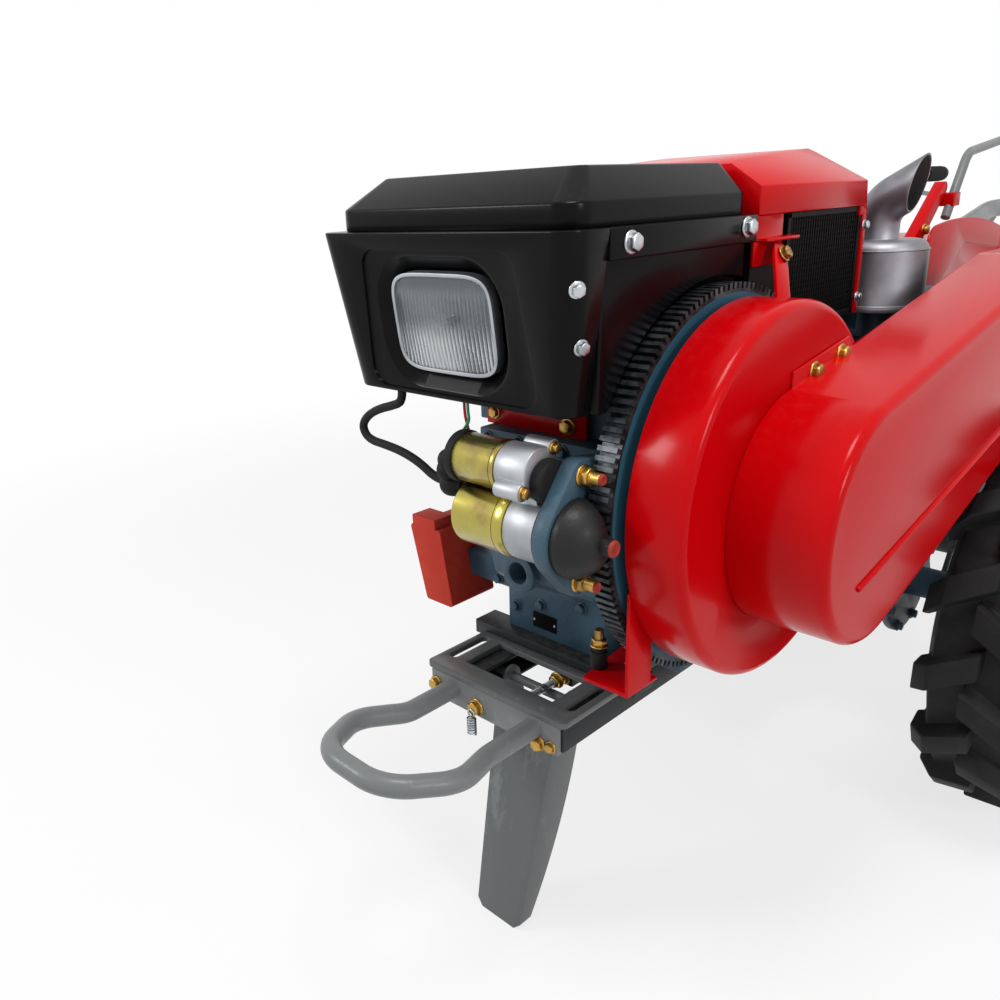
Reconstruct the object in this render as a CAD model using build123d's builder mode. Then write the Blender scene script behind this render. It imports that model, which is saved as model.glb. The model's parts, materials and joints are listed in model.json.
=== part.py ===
from build123d import *
import os
from math import atan2, cos, degrees, pi, radians, sin, sqrt, tan

# A two-wheeled walking tractor with a rotary tiller, parked on its front stand.
# Front faces -Y, the belt side is +X, the ground is Z = 0. Millimetres.

# Overall reach and ride
FRONT_REACH = 412.0
REAR_REACH = 1982.0
AXLE_BACK = 563.0
TYRE_RADIUS = 290.0
TYRE_WIDTH = 145.0
TRACK_HALF = 376.0
FRAME_ABOVE_AXLE = 43.0
CRANK_ABOVE_BASE = 244.0
RUN_GAP = 6.0
FIT_GAP = 0.3

CRANK_Y = (FRONT_REACH - REAR_REACH) / 2
AXLE_Y = CRANK_Y + AXLE_BACK
AXLE_Z = TYRE_RADIUS
FRAME_TOP = AXLE_Z + FRAME_ABOVE_AXLE
BEARER_HEIGHT = 12.0
ENGINE_BASE = FRAME_TOP + BEARER_HEIGHT
CRANK_Z = ENGINE_BASE + CRANK_ABOVE_BASE

# Frame, front plate, hoop and stand
FRAME_SHIFT = -10.0
PLATE_HALF = 113.0
PLATE_FRONT = CRANK_Y - 186.0
PLATE_REAR = CRANK_Y - 76.0
PLATE_THICK = 8.0
PLATE_CORNER = 8.0
PLATE_WINDOW = (142.0, 65.0)
PLATE_BAR = 31.0
SLOT_WIDTH = 13.0
SLOT_LENGTH = 70.0
SLOT_INSET = 17.0
RAIL_HALF = 97.0
RAIL_WIDTH = 40.0
RAIL_HEIGHT = 36.0
RAIL_WALL = 5.0
BEAM_HALF = 131.0
BEAM_DEPTH = 40.0
SCREW_LUG = (28.0, 26.0, 22.0)
HOOP_TUBE = 12.5
HOOP_HALF = 66.0
HOOP_KNEE = 76.0
HOOP_WAIST = 140.0
HOOP_BULGE = 23.0
HOOP_NOSE = 50.0
HOOP_BEND = 56.0
HOOP_DROP = 16.0
HOOP_RISE = 24.0
HOOP_BAR = 38.0
HOOP_BAR_THICK = 7.0
HOOP_BAR_INSET = 9.0
STAND_PIVOT_BACK = 81.0
STAND_PIVOT_DROP = 21.0
STAND_LEAN = 90.0
STAND_TOE = 19.0
STAND_EAR = 15.0
STAND_TOP_HALF = 51.0
STAND_FOOT_HALF = 37.0
STAND_DEPTH = 49.0
STAND_SHEET = 5.0
STAND_PIN = 6.0

# Engine
ENGINE_LEFT = 147.0
ENGINE_RIGHT = 96.0
ENGINE_FRONT = 145.0
ENGINE_FOOT_FRONT = 56.0
COVER_LEFT = 66.0
COVER_FLOOR = CRANK_Z - 131.0
COVER_SEAM = CRANK_Z + 33.0
COVER_TOP = CRANK_Z + 53.0
COVER_STEP = 12.0
COVER_BACK = 100.0
CRANK_BOSS = (11.0, CRANK_Z - 106.0)
CRANK_BOSS_RADIUS = 24.0
CRANK_BOSS_BORE = 13.0
POCKET_X = 62.0
POCKET_DEPTH = 36.0
POCKET_TOP = ENGINE_BASE + 95.0
BLOCK_REAR = 250.0
BLOCK_TOP = CRANK_Z + 101.0
CYLINDER_HALF = 95.0
CYLINDER_LENGTH = 130.0
CYLINDER_DROP = 110.0
HEAD_LENGTH = 86.0
HEAD_HALF = 112.0
STARTER_FORWARD = 225.0
STARTER_DROP = 7.0
STARTER_RADIUS = 37.0
STARTER_INNER = 8.0
STARTER_SPLIT = 84.0
STARTER_RING = 14.0
STARTER_PLATE_THICK = 18.0
SOLENOID_RADIUS = 27.0
SOLENOID_RISE = 62.0
SOLENOID_FORWARD = 12.0
SOLENOID_CAP = 10.0
SOLENOID_INNER = 18.0
SOLENOID_SPLIT = 76.0
SEAT_END = 116.0
SCREW_BOSS = 9.0
BOOT_REACH = 30.0
BOOT_RADIUS = 9.5
DOME_RADIUS = 40.0
DOME_REACH = 36.0
DOME_NUB = 9.0

# Flywheel, guards and belt drive
RING_RADIUS = 214.0
RING_TEETH = 141
TOOTH_DEPTH = 6.5
RING_WIDTH = 23.0
GUARD_RADIUS = 200.0
GUARD_DEPTH = 63.0
GUARD_SHEET = 2.0
GUARD_EDGE = 10.0
GUARD_GAP = 11.0
TAB_HEIGHT = 26.0
STRAP_WIDTH = 24.0
STRAP_THICK = 4.0
BELT_DEPTH = 100.0
NOSE_RADIUS = 125.0
NOSE_DROP = 10.0
CLUTCH_BACK = 557.0
TYRE_CLEAR = 37.0
CLUTCH_END = 90.0
CLUTCH_SPAN = 43.0
PULLEY_RADIUS = 72.0
CLUTCH_RADIUS = 74.0
BELT_BAND = 64.0
BELT_THICK = 9.0

FLYWHEEL_INNER = ENGINE_LEFT + RUN_GAP
RING_FACE = FLYWHEEL_INNER + RING_WIDTH
GUARD_BACK = RING_FACE + GUARD_GAP
GUARD_FACE = GUARD_BACK + GUARD_DEPTH
BELT_FACE = GUARD_FACE + BELT_DEPTH
CLUTCH_Y = CRANK_Y + CLUTCH_BACK
CLUTCH_Z = AXLE_Z + TYRE_RADIUS + TYRE_CLEAR + CLUTCH_END

# Tank, lamp, radiator and silencer
TANK_SHIFT = -8.0
TANK_HALF = 177.0
TANK_FLOOR = BLOCK_TOP + 10.0
TANK_TOP = CRANK_Z + 279.0
TANK_FRONT = CRANK_Y - 205.0
TANK_REAR = CRANK_Y + 54.0
TANK_BODY_HALF = 166.0
TANK_BAND = 28.0
TANK_EDGE = 8.0
LAMP_FRONT = CRANK_Y - 259.0
LAMP_RAKE = 24.0
LAMP_FLOOR = CRANK_Z + 110.0
LAMP_FLOOR_HALF = 156.0
LAMP_EDGE = 24.0
LAMP_LIP = 5.0
PANEL_HALF = 105.0
PANEL_FLOOR_HALF = 121.0
PANEL_MARGIN = 17.0
PANEL_SINK = 4.0
PANEL_CORNER = 20.0
LENS_X = -12.0
LENS_WIDTH = 144.0
LENS_HEIGHT = 104.0
LENS_CORNER = 34.0
LENS_Z = CRANK_Z + 187.0
LENS_DEPTH = 22.0
LENS_FLARE = 18.0
LENS_THICK = 16.0
LENS_CROWN = 7.0
CROWN_HALF = 164.0
CROWN_FRONT = CRANK_Y - 240.0
CROWN_REAR = CRANK_Y + 62.0
CROWN_RISE = 53.0
CROWN_WALL = 22.0
CROWN_HIP = 28.0
CROWN_SLOPE = 45.0
CROWN_TAIL = 14.0
CROWN_CORNER = 26.0
CROWN_EDGE = 6.0
HOOD_HALF = 164.0
HOOD_FRONT = CROWN_REAR + 3.0
HOOD_REAR = CRANK_Y + 342.0
HOOD_BROW = CRANK_Z + 331.0
HOOD_TOP = CRANK_Z + 348.0
HOOD_CREASE = CRANK_Z + 307.0
HOOD_HIP = 62.0
HOOD_FLOOR = CRANK_Z + 277.0
HOOD_TAIL = 42.0
SKIRT_THICK = 4.0
SKIRT_LENGTH = 64.0
SKIRT_DROP = 54.0
LEDGE_DROP = 28.0
LEDGE_REACH = 12.0
STRIP_WIDTH = 12.0
CORE_FRONT = CRANK_Y + 74.0
CORE_HALF = 152.0
MESH_THICK = 6.0
MESH_FRONT = CRANK_Y + 145.0
MESH_DROP = 134.0
MESH_BAND = 16.0
MESH_ROWS = 7
MESH_COLUMNS = 11
MESH_BAR = 4.0
MUFFLER_X = 151.0
MUFFLER_BACK = 442.0
MUFFLER_RADIUS = 57.0
MUFFLER_FLOOR = CRANK_Z + 138.0
MUFFLER_HEIGHT = 92.0
MUFFLER_SHOULDER = 16.0
MUFFLER_LIP = 3.0
ELBOW_RADIUS = 28.0
ELBOW_WALL = 2.5
ELBOW_OFFSET = 11.0
ELBOW_RISE = 43.0
ELBOW_REACH = 47.0
ELBOW_SLOPE = 30.0
ELBOW_BEND = 40.0
ELBOW_LEAN = 12.0
EXHAUST_RADIUS = 24.0
CLEANER_RADIUS = 66.0
CLEANER_HEIGHT = 190.0

# Cables: each run lies in one plane across the machine
CABLE_RADIUS = 5.0
LEAD_RADIUS = 1.6
CABLE_Y = CRANK_Y - 229.0
GREEN_Y = CRANK_Y - 232.0
RED_Y = CRANK_Y - 227.0

# Tool box
BOX_X = 160.0
BOX_FORWARD = 100.0
BOX_LIFT = 18.0
BOX_WIDTH = 56.0
BOX_TAPER = 4.0
BOX_LEAN = 24.0
BOX_HEIGHT = 108.0
BOX_DEPTH = 84.0
BOX_LID = 14.0
BOX_EDGE = 5.0

# Gearbox, shroud and handles
GEARBOX_HALF = 95.0
GEARBOX_TOE = 105.0
GEARBOX_CREST = 86.0
GEARBOX_HEEL = (AXLE_Y + 170.0, AXLE_Z + 170.0)
AXLE_TUBE = 62.0
AXLE_FLANGE = 86.0
AXLE_FLANGE_X = 205.0
AXLE_SHAFT = 24.0
AXLE_SEAT = 40.0
SHROUD_HALF = 150.0
SHROUD_FRONT = CLUTCH_Y + 53.0
SHROUD_REAR = CLUTCH_Y + 453.0
SHROUD_BASE = CLUTCH_Z - 7.0
SHROUD_BROW = CLUTCH_Z + 116.0
SHROUD_CREST = CLUTCH_Z + 125.0
SHROUD_TAIL = CLUTCH_Z + 88.0
SHROUD_PEAK = 0.42
SHROUD_CORNER = 34.0
SHROUD_SHEET = 3.0
EMBOSS_DEPTH = 1.2
EMBOSS_HEAD = 26.0
EMBOSS_TAIL = 9.0
EMBOSS_LENGTH = 170.0
POST_X = 75.0
POST_THICK = 18.0
POST_FOOT = (CLUTCH_Y + 91.0, CLUTCH_Z - 4.0)
POST_TOP = (CLUTCH_Y + 300.0, CLUTCH_Z + 170.0)
POST_FOOT_WIDTH = 37.0
POST_TOP_WIDTH = 20.0
CLAMP_SIZE = (33.0, 30.0, 22.0)
BAR_TUBE = 15.0
BAR_START = (CLUTCH_Y + 173.0, CLUTCH_Z + 50.0)
BAR_KNEE = (105.0, CLUTCH_Y + 473.0, CLUTCH_Z + 128.0)
BAR_WAIST = (200.0, CLUTCH_Y + 743.0, CLUTCH_Z + 143.0)
BAR_HEIGHT = CLUTCH_Z + 193.0
GRIP_X = 300.0
GRIP_LENGTH = 125.0
GRIP_RADIUS = 19.0
BAR_BEND = 100.0
LEVER_ROD = 7.5
ROD_X = 90.0
ROD_FOOT = (CLUTCH_Y + 298.0, CLUTCH_Z + 121.0)
ROD_CORNER = (CLUTCH_Y + 368.0, CLUTCH_Z + 225.0)
ROD_RUN = (CLUTCH_Y + 531.0, CLUTCH_Z + 245.0)
ROD_END = (110.0, CLUTCH_Y + 863.0, CLUTCH_Z + 278.0)

# Tiller and tail wheel
ROTOR_Y = AXLE_Y + 560.0
ROTOR_Z = 250.0
TINE_REACH = 222.0
ROTOR_HALF = 300.0
ROTOR_SHAFT = 24.0
TINE_FLANGE = 58.0
TINE_WIDTH = 34.0
TINE_THICK = 9.0
TINE_TOE = 62.0
CASE_HALF = 42.0
HOOD_RADIUS = 262.0
HOOD_SHEET = 3.0
TILLER_HOOD_HALF = 335.0
TAIL_Y = ROTOR_Y + 350.0
TAIL_RADIUS = 110.0
TAIL_WIDTH = 60.0
TAIL_LIFT = 3.0

# Wheels
LUGS = 15
LUG_SWEEP = 44.0
LUG_ROOT = 6.0
LUG_TIP = 4.0
LUG_LAP = 8.0
LUG_BEVEL = 24.0
LUG_HEIGHT = 28.0
RIM_RADIUS = 153.0
RIM_WIDTH = 114.0
HUB_PCD = 110.0
HUB_STUDS = 5
STUD_HOLE = 7.0


def bar_along(points, bend, radius):
    """A round bar through points, its corners turned by tangent arcs."""
    with BuildPart() as bar:
        with BuildLine() as path:
            FilletPolyline(*points, radius=bend)
        with BuildSketch(Plane(origin=path.line @ 0, z_dir=path.line % 0)):
            Circle(radius)
        sweep()
    return bar.part


def cord_along(points, radius):
    """A limp round cord through points: each corner takes the widest arc its runs allow."""
    runs = [(Vector(*b) - Vector(*a)) for a, b in zip(points, points[1:])]
    radii = [
        0.45 * min(a.length, b.length) / tan(radians(a.get_angle(b)) / 2)
        for a, b in zip(runs, runs[1:])
    ]
    with BuildPart() as cord:
        with BuildLine() as path:
            FilletPolyline(*points, radius=radii)
        with BuildSketch(Plane(origin=path.line @ 0, z_dir=path.line % 0)):
            Circle(radius)
        sweep()
    length = sum(edge.length for edge in path.edges())
    print("cord length", round(length, 1), "radii", [round(r, 1) for r in radii],
          "volume share", round(cord.part.volume / (pi * radius**2 * length), 4))
    return cord.part


def across(y, z, x=0.0):
    """A plane whose normal is +X, with local x along +Y, at a point of the side view."""
    return Plane(origin=(x, y, z), x_dir=(0, 1, 0), z_dir=(1, 0, 0))


def radial(x, y, z):
    """A plane through a cross shaft for revolved profiles: local x along +X, local y outwards."""
    return Plane(origin=(x, y, z), x_dir=(1, 0, 0), z_dir=(0, 0, 1))


def shaft_axis(y, z):
    """The axis of a cross shaft."""
    return Axis((0, y, z), (1, 0, 0))


# Frame rails: a pair of channels open to the inside, from the hoop's bar to the gearbox
RAIL_TOP = FRAME_TOP - PLATE_THICK
RAIL_FRONT = PLATE_FRONT + HOOP_BAR_THICK
GEARBOX_FRONT = AXLE_Y - GEARBOX_TOE
with BuildPart() as frame_rails:
    with BuildSketch(Plane.XZ.offset(-RAIL_FRONT)):
        with Locations((RAIL_HALF - RAIL_WIDTH / 2, RAIL_TOP - RAIL_HEIGHT / 2)):
            Rectangle(RAIL_WIDTH, RAIL_HEIGHT)
        with Locations((RAIL_HALF - RAIL_WALL - RAIL_WIDTH / 2, RAIL_TOP - RAIL_HEIGHT / 2)):
            Rectangle(RAIL_WIDTH, RAIL_HEIGHT - 2 * RAIL_WALL, mode=Mode.SUBTRACT)
    extrude(amount=-(GEARBOX_FRONT - RAIL_FRONT))
    mirror(about=Plane.YZ)

# Engine bearers: two strips on the rails, the cross beam and the lug of the tension screw
BEARER_FRONT = PLATE_REAR + FIT_GAP
with BuildPart() as engine_bearers:
    with BuildSketch(Plane.XY.offset(RAIL_TOP)):
        with Locations((RAIL_HALF - RAIL_WIDTH / 2, (BEARER_FRONT + CRANK_Y + BLOCK_REAR) / 2)):
            Rectangle(RAIL_WIDTH, CRANK_Y + BLOCK_REAR - BEARER_FRONT)
    extrude(amount=ENGINE_BASE - RAIL_TOP)
    mirror(about=Plane.YZ)
    with BuildSketch(Plane.XY.offset(RAIL_TOP)):
        with Locations((FRAME_SHIFT, BEARER_FRONT + BEAM_DEPTH / 2)):
            Rectangle(2 * BEAM_HALF, BEAM_DEPTH)
    extrude(amount=ENGINE_BASE - RAIL_TOP)
    with BuildSketch(Plane.XY.offset(RAIL_TOP)):
        with Locations((SCREW_LUG[0] / 2, BEARER_FRONT + SCREW_LUG[1] / 2)):
            Rectangle(SCREW_LUG[0], SCREW_LUG[1])
    extrude(amount=-SCREW_LUG[2])

# Front plate: a flat plate with a window and a slot at each side
PLATE_MID = (PLATE_FRONT + PLATE_REAR) / 2
WINDOW_MID = PLATE_FRONT + PLATE_BAR + PLATE_WINDOW[1] / 2
SLOT_X = PLATE_HALF - SLOT_INSET
with BuildPart() as front_plate:
    with BuildSketch(Plane.XY.offset(RAIL_TOP)):
        with Locations((FRAME_SHIFT, PLATE_MID)):
            Rectangle(2 * PLATE_HALF, PLATE_REAR - PLATE_FRONT)
        fillet(vertices().group_by(Axis.Y)[0], PLATE_CORNER)
        with Locations((FRAME_SHIFT, WINDOW_MID)):
            Rectangle(*PLATE_WINDOW, mode=Mode.SUBTRACT)
        with Locations((FRAME_SHIFT - SLOT_X, WINDOW_MID), (FRAME_SHIFT + SLOT_X, WINDOW_MID)):
            SlotOverall(SLOT_LENGTH, SLOT_WIDTH, rotation=90, mode=Mode.SUBTRACT)
    extrude(amount=PLATE_THICK)

# Bumper hoop: one bent tube on the flat bar that closes the rails' front ends
HOOP_Z = RAIL_TOP - HOOP_DROP
HOOP_FRONT = CRANK_Y - FRONT_REACH + HOOP_TUBE
HOOP_WELD = PLATE_FRONT + HOOP_BAR_THICK / 2
left_leg = [
    (FRAME_SHIFT + HOOP_HALF, HOOP_WELD, HOOP_Z),
    (FRAME_SHIFT + HOOP_HALF, PLATE_FRONT - HOOP_KNEE, HOOP_Z),
    (FRAME_SHIFT + HOOP_HALF + HOOP_BULGE, PLATE_FRONT - HOOP_WAIST, HOOP_Z + HOOP_RISE / 2),
    (FRAME_SHIFT + HOOP_NOSE, HOOP_FRONT, HOOP_Z + HOOP_RISE),
]
right_leg = [(2 * FRAME_SHIFT - x, y, z) for x, y, z in reversed(left_leg)]
hoop_tube = bar_along(left_leg + right_leg, HOOP_BEND, HOOP_TUBE)
with BuildPart() as bumper_hoop:
    add(hoop_tube)
    with BuildSketch(Plane.XZ.offset(-PLATE_FRONT)):
        with Locations((FRAME_SHIFT, RAIL_TOP - HOOP_BAR / 2)):
            Rectangle(2 * (PLATE_HALF - HOOP_BAR_INSET), HOOP_BAR)
    extrude(amount=-HOOP_BAR_THICK)

# Front stand: a tapered folded channel whose two ears turn on a cross pin between the rails
PIVOT_Y = PLATE_FRONT + STAND_PIVOT_BACK
PIVOT_Z = RAIL_TOP - STAND_PIVOT_DROP
FOOT_Y = PIVOT_Y - STAND_LEAN
STAND_BROW = (PIVOT_Y - STAND_DEPTH * 0.55, PIVOT_Z - STAND_EAR)
STAND_HEEL = (PIVOT_Y + STAND_DEPTH * 0.43, PIVOT_Z - 2 * STAND_EAR)
STAND_CALF = (PIVOT_Y - STAND_SHEET, PIVOT_Z / 2)
EAR_REAR = (PIVOT_Y + STAND_EAR, PIVOT_Z)
EAR_FRONT = (PIVOT_Y - STAND_EAR, PIVOT_Z)
EAR_CLEAR = PIVOT_Z + 2 * STAND_EAR
with BuildPart() as stand_room:
    with BuildSketch(Plane.XZ.offset(-FOOT_Y)):
        Polygon(
            (-STAND_TOP_HALF + STAND_SHEET, EAR_CLEAR),
            (STAND_TOP_HALF - STAND_SHEET, EAR_CLEAR),
            (STAND_TOP_HALF - STAND_SHEET, PIVOT_Z),
            (STAND_FOOT_HALF - STAND_SHEET, STAND_SHEET),
            (-STAND_FOOT_HALF + STAND_SHEET, STAND_SHEET),
            (-STAND_TOP_HALF + STAND_SHEET, PIVOT_Z),
            align=None,
        )
    extrude(amount=4 * STAND_DEPTH, both=True)
    with BuildSketch(Plane.YZ):
        Polygon(
            (FOOT_Y + STAND_SHEET, 0),
            (STAND_BROW[0] + STAND_SHEET, STAND_BROW[1] - STAND_SHEET),
            (STAND_BROW[0] - STAND_SHEET, STAND_BROW[1] - STAND_SHEET),
            (STAND_BROW[0] - STAND_SHEET, EAR_CLEAR),
            (PIVOT_Y + 2 * STAND_DEPTH, EAR_CLEAR),
            (PIVOT_Y + 2 * STAND_DEPTH, 0),
            align=None,
        )
    extrude(amount=STAND_TOP_HALF, both=True, mode=Mode.INTERSECT)

with BuildPart() as front_stand:
    with BuildSketch(Plane.YZ):
        with BuildLine():
            Line((FOOT_Y, 0), (FOOT_Y + STAND_TOE, 0))
            ThreePointArc((FOOT_Y + STAND_TOE, 0), STAND_CALF, STAND_HEEL)
            Line(STAND_HEEL, EAR_REAR)
            ThreePointArc(EAR_REAR, (PIVOT_Y, PIVOT_Z + STAND_EAR), EAR_FRONT)
            Line(EAR_FRONT, STAND_BROW)
            Line(STAND_BROW, (FOOT_Y, 0))
        make_face()
    extrude(amount=2 * STAND_TOP_HALF, both=True)
    with BuildSketch(Plane.XZ.offset(-FOOT_Y)):
        Polygon(
            (-STAND_TOP_HALF, EAR_CLEAR),
            (STAND_TOP_HALF, EAR_CLEAR),
            (STAND_TOP_HALF, PIVOT_Z),
            (STAND_FOOT_HALF, 0),
            (-STAND_FOOT_HALF, 0),
            (-STAND_TOP_HALF, PIVOT_Z),
            align=None,
        )
        chamfer(vertices().group_by(Axis.Y)[0], STAND_FOOT_HALF / 4)
    extrude(amount=4 * STAND_DEPTH, both=True, mode=Mode.INTERSECT)
    add(stand_room.part, mode=Mode.SUBTRACT)
    with BuildSketch(across(PIVOT_Y, PIVOT_Z)):
        Circle(STAND_PIN)
    extrude(amount=RAIL_HALF - RAIL_WALL - FIT_GAP, both=True)

# Tool box: a leaning moulded box with a stepped lid
BOX_FRONT = CRANK_Y - BOX_FORWARD
BOX_FLOOR = ENGINE_BASE + BOX_LIFT
with BuildPart() as tool_box:
    with BuildSketch(Plane.XZ.offset(-BOX_FRONT)):
        Polygon(
            (-BOX_X, BOX_FLOOR),
            (-BOX_X - BOX_WIDTH + BOX_TAPER, BOX_FLOOR),
            (-BOX_X - BOX_WIDTH - BOX_LEAN, BOX_FLOOR + BOX_HEIGHT),
            (-BOX_X - BOX_LEAN + BOX_TAPER, BOX_FLOOR + BOX_HEIGHT),
            align=None,
        )
    extrude(amount=-BOX_DEPTH)
    fillet(tool_box.edges().filter_by(Axis.Y), BOX_EDGE)
    with BuildSketch(Plane.XY.offset(BOX_FLOOR + BOX_HEIGHT)):
        with Locations((-BOX_X - BOX_WIDTH / 2 - BOX_LEAN, BOX_FRONT + BOX_DEPTH * 0.2)):
            Rectangle(BOX_WIDTH * 0.8, BOX_DEPTH * 0.4)
    extrude(amount=BOX_LID)

# Room that the flywheel turns in, kept free in all that stands round it
with BuildPart() as flywheel_room:
    with BuildSketch(across(CRANK_Y, CRANK_Z, ENGINE_LEFT)):
        Circle(RING_RADIUS + RUN_GAP)
    extrude(amount=GUARD_BACK - ENGINE_LEFT)

# Engine block: crankcase with a raised front cover, the hand-crank boss and a pocketed foot
with BuildPart() as engine_block:
    with BuildSketch(Plane.YZ.offset(-ENGINE_RIGHT)):
        Polygon(
            (CRANK_Y - ENGINE_FOOT_FRONT, ENGINE_BASE),
            (CRANK_Y - ENGINE_FOOT_FRONT, COVER_TOP),
            (CRANK_Y - COVER_BACK, COVER_TOP),
            (CRANK_Y - COVER_BACK, BLOCK_TOP),
            (CRANK_Y + BLOCK_REAR, BLOCK_TOP),
            (CRANK_Y + BLOCK_REAR, ENGINE_BASE),
            align=None,
        )
    extrude(amount=ENGINE_LEFT + ENGINE_RIGHT)
    with BuildSketch(Plane.XZ.offset(-(CRANK_Y - ENGINE_FOOT_FRONT))):
        Polygon(
            (-COVER_LEFT, COVER_SEAM),
            (ENGINE_LEFT, COVER_SEAM),
            (ENGINE_LEFT, COVER_FLOOR + COVER_STEP),
            (CRANK_BOSS[0], COVER_FLOOR),
            (-COVER_LEFT / 2, COVER_FLOOR),
            (-COVER_LEFT, CRANK_Z),
            align=None,
        )
    extrude(amount=ENGINE_FRONT - ENGINE_FOOT_FRONT)
    chamfer(engine_block.edges().filter_by(Axis.X).group_by(Axis.Y)[0].group_by(Axis.Z)[0], COVER_STEP)
    with BuildSketch(Plane.XZ.offset(-(CRANK_Y - ENGINE_FOOT_FRONT))):
        with Locations(((ENGINE_LEFT - COVER_LEFT) / 2, (COVER_SEAM + COVER_TOP) / 2)):
            Rectangle(ENGINE_LEFT + COVER_LEFT, COVER_TOP - COVER_SEAM)
    extrude(amount=ENGINE_FRONT - COVER_STEP - ENGINE_FOOT_FRONT)
    with BuildSketch(Plane.XZ.offset(-(CRANK_Y - ENGINE_FRONT))):
        with Locations(CRANK_BOSS):
            Circle(CRANK_BOSS_RADIUS)
    extrude(amount=COVER_STEP)
    with BuildSketch(Plane.XZ.offset(-(CRANK_Y - ENGINE_FRONT - COVER_STEP))):
        with Locations(CRANK_BOSS):
            Circle(CRANK_BOSS_BORE)
    extrude(amount=-2 * COVER_STEP, mode=Mode.SUBTRACT)
    with BuildSketch(Plane.XY.offset(ENGINE_BASE)):
        with Locations(((POCKET_X + ENGINE_LEFT) / 2, CRANK_Y - ENGINE_FOOT_FRONT + POCKET_DEPTH / 2)):
            Rectangle(ENGINE_LEFT - POCKET_X, POCKET_DEPTH)
    extrude(amount=POCKET_TOP - ENGINE_BASE, mode=Mode.SUBTRACT)
    with BuildSketch(Plane.YZ.offset(-ENGINE_RIGHT)):
        with Locations((CRANK_Y - ENGINE_FOOT_FRONT + POCKET_DEPTH / 2, BOX_FLOOR + BOX_HEIGHT / 2)):
            Rectangle(POCKET_DEPTH, POCKET_DEPTH)
    extrude(amount=-(BOX_X + BOX_WIDTH / 2 - ENGINE_RIGHT))
    add(tool_box.part, mode=Mode.SUBTRACT)

# Cylinder and head lie flat behind the crankcase
HEAD_FRONT = CRANK_Y + BLOCK_REAR + CYLINDER_LENGTH
with BuildPart() as cylinder:
    with BuildSketch(Plane.XZ.offset(-(CRANK_Y + BLOCK_REAR))):
        with Locations((0, CRANK_Z - CYLINDER_DROP / 2 + (BLOCK_TOP - CRANK_Z) / 2)):
            RectangleRounded(2 * CYLINDER_HALF, BLOCK_TOP - CRANK_Z + CYLINDER_DROP, 14.0)
    extrude(amount=-CYLINDER_LENGTH)

with BuildPart() as cylinder_head:
    with BuildSketch(Plane.XZ.offset(-HEAD_FRONT)):
        with Locations((0, CRANK_Z - CYLINDER_DROP / 2 + (BLOCK_TOP - CRANK_Z) / 2)):
            RectangleRounded(2 * HEAD_HALF, BLOCK_TOP - CRANK_Z + CYLINDER_DROP, 18.0)
    extrude(amount=-HEAD_LENGTH)
    with BuildSketch(Plane.XY.offset(BLOCK_TOP - 2 * EXHAUST_RADIUS)):
        with Locations((MUFFLER_X / 2, CRANK_Y + MUFFLER_BACK)):
            SlotOverall(MUFFLER_X + 2 * EXHAUST_RADIUS, 2 * EXHAUST_RADIUS)
    extrude(amount=2 * EXHAUST_RADIUS)
    with BuildSketch(Plane.XY.offset(BLOCK_TOP)):
        with Locations((MUFFLER_X, CRANK_Y + MUFFLER_BACK)):
            Circle(EXHAUST_RADIUS)
    extrude(amount=MUFFLER_FLOOR - BLOCK_TOP)

# Electric starter in front of the block: motor, solenoid, drive end, mounting plate and pinion dome
STARTER_Y = CRANK_Y - STARTER_FORWARD
STARTER_Z = CRANK_Z - STARTER_DROP
SOLENOID_Y = STARTER_Y - SOLENOID_FORWARD
SOLENOID_Z = STARTER_Z + SOLENOID_RISE
PLATE_X = ENGINE_LEFT - STARTER_PLATE_THICK
with BuildPart() as starter_motor:
    with BuildSketch(radial(STARTER_INNER, STARTER_Y, STARTER_Z)):
        Polygon(
            (0, 0),
            (0, STARTER_RADIUS - 6.0),
            (5.0, STARTER_RADIUS - 1.0),
            (STARTER_SPLIT - STARTER_INNER - STARTER_RING, STARTER_RADIUS - 1.0),
            (STARTER_SPLIT - STARTER_INNER - STARTER_RING, STARTER_RADIUS),
            (STARTER_SPLIT - STARTER_INNER, STARTER_RADIUS),
            (STARTER_SPLIT - STARTER_INNER, 0),
            align=None,
        )
    revolve(axis=shaft_axis(STARTER_Y, STARTER_Z))

with BuildPart() as starter_solenoid:
    with BuildSketch(radial(SOLENOID_INNER, SOLENOID_Y, SOLENOID_Z)):
        Polygon(
            (-SOLENOID_CAP, 0),
            (-SOLENOID_CAP, SOLENOID_RADIUS - 5.0),
            (-2.0, SOLENOID_RADIUS - 2.0),
            (0, SOLENOID_RADIUS - 1.0),
            (SOLENOID_SPLIT - SOLENOID_INNER - 6.0, SOLENOID_RADIUS - 1.0),
            (SOLENOID_SPLIT - SOLENOID_INNER - 6.0, SOLENOID_RADIUS),
            (SOLENOID_SPLIT - SOLENOID_INNER, SOLENOID_RADIUS),
            (SOLENOID_SPLIT - SOLENOID_INNER, 0),
            align=None,
        )
    revolve(axis=shaft_axis(SOLENOID_Y, SOLENOID_Z))
    add(starter_motor.part, mode=Mode.SUBTRACT)

MOTOR_BOOT = (CABLE_Y, STARTER_Z + STARTER_RADIUS * 0.65)
SOLENOID_BOOT = (SOLENOID_Y, SOLENOID_Z - BOOT_RADIUS)
BOOT_END = STARTER_INNER - BOOT_REACH
with BuildPart() as terminal_boots:
    with BuildSketch(across(*MOTOR_BOOT, STARTER_INNER), across(*SOLENOID_BOOT, SOLENOID_INNER - SOLENOID_CAP)):
        Circle(BOOT_RADIUS)
    extrude(amount=-BOOT_REACH, taper=4.0)

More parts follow.
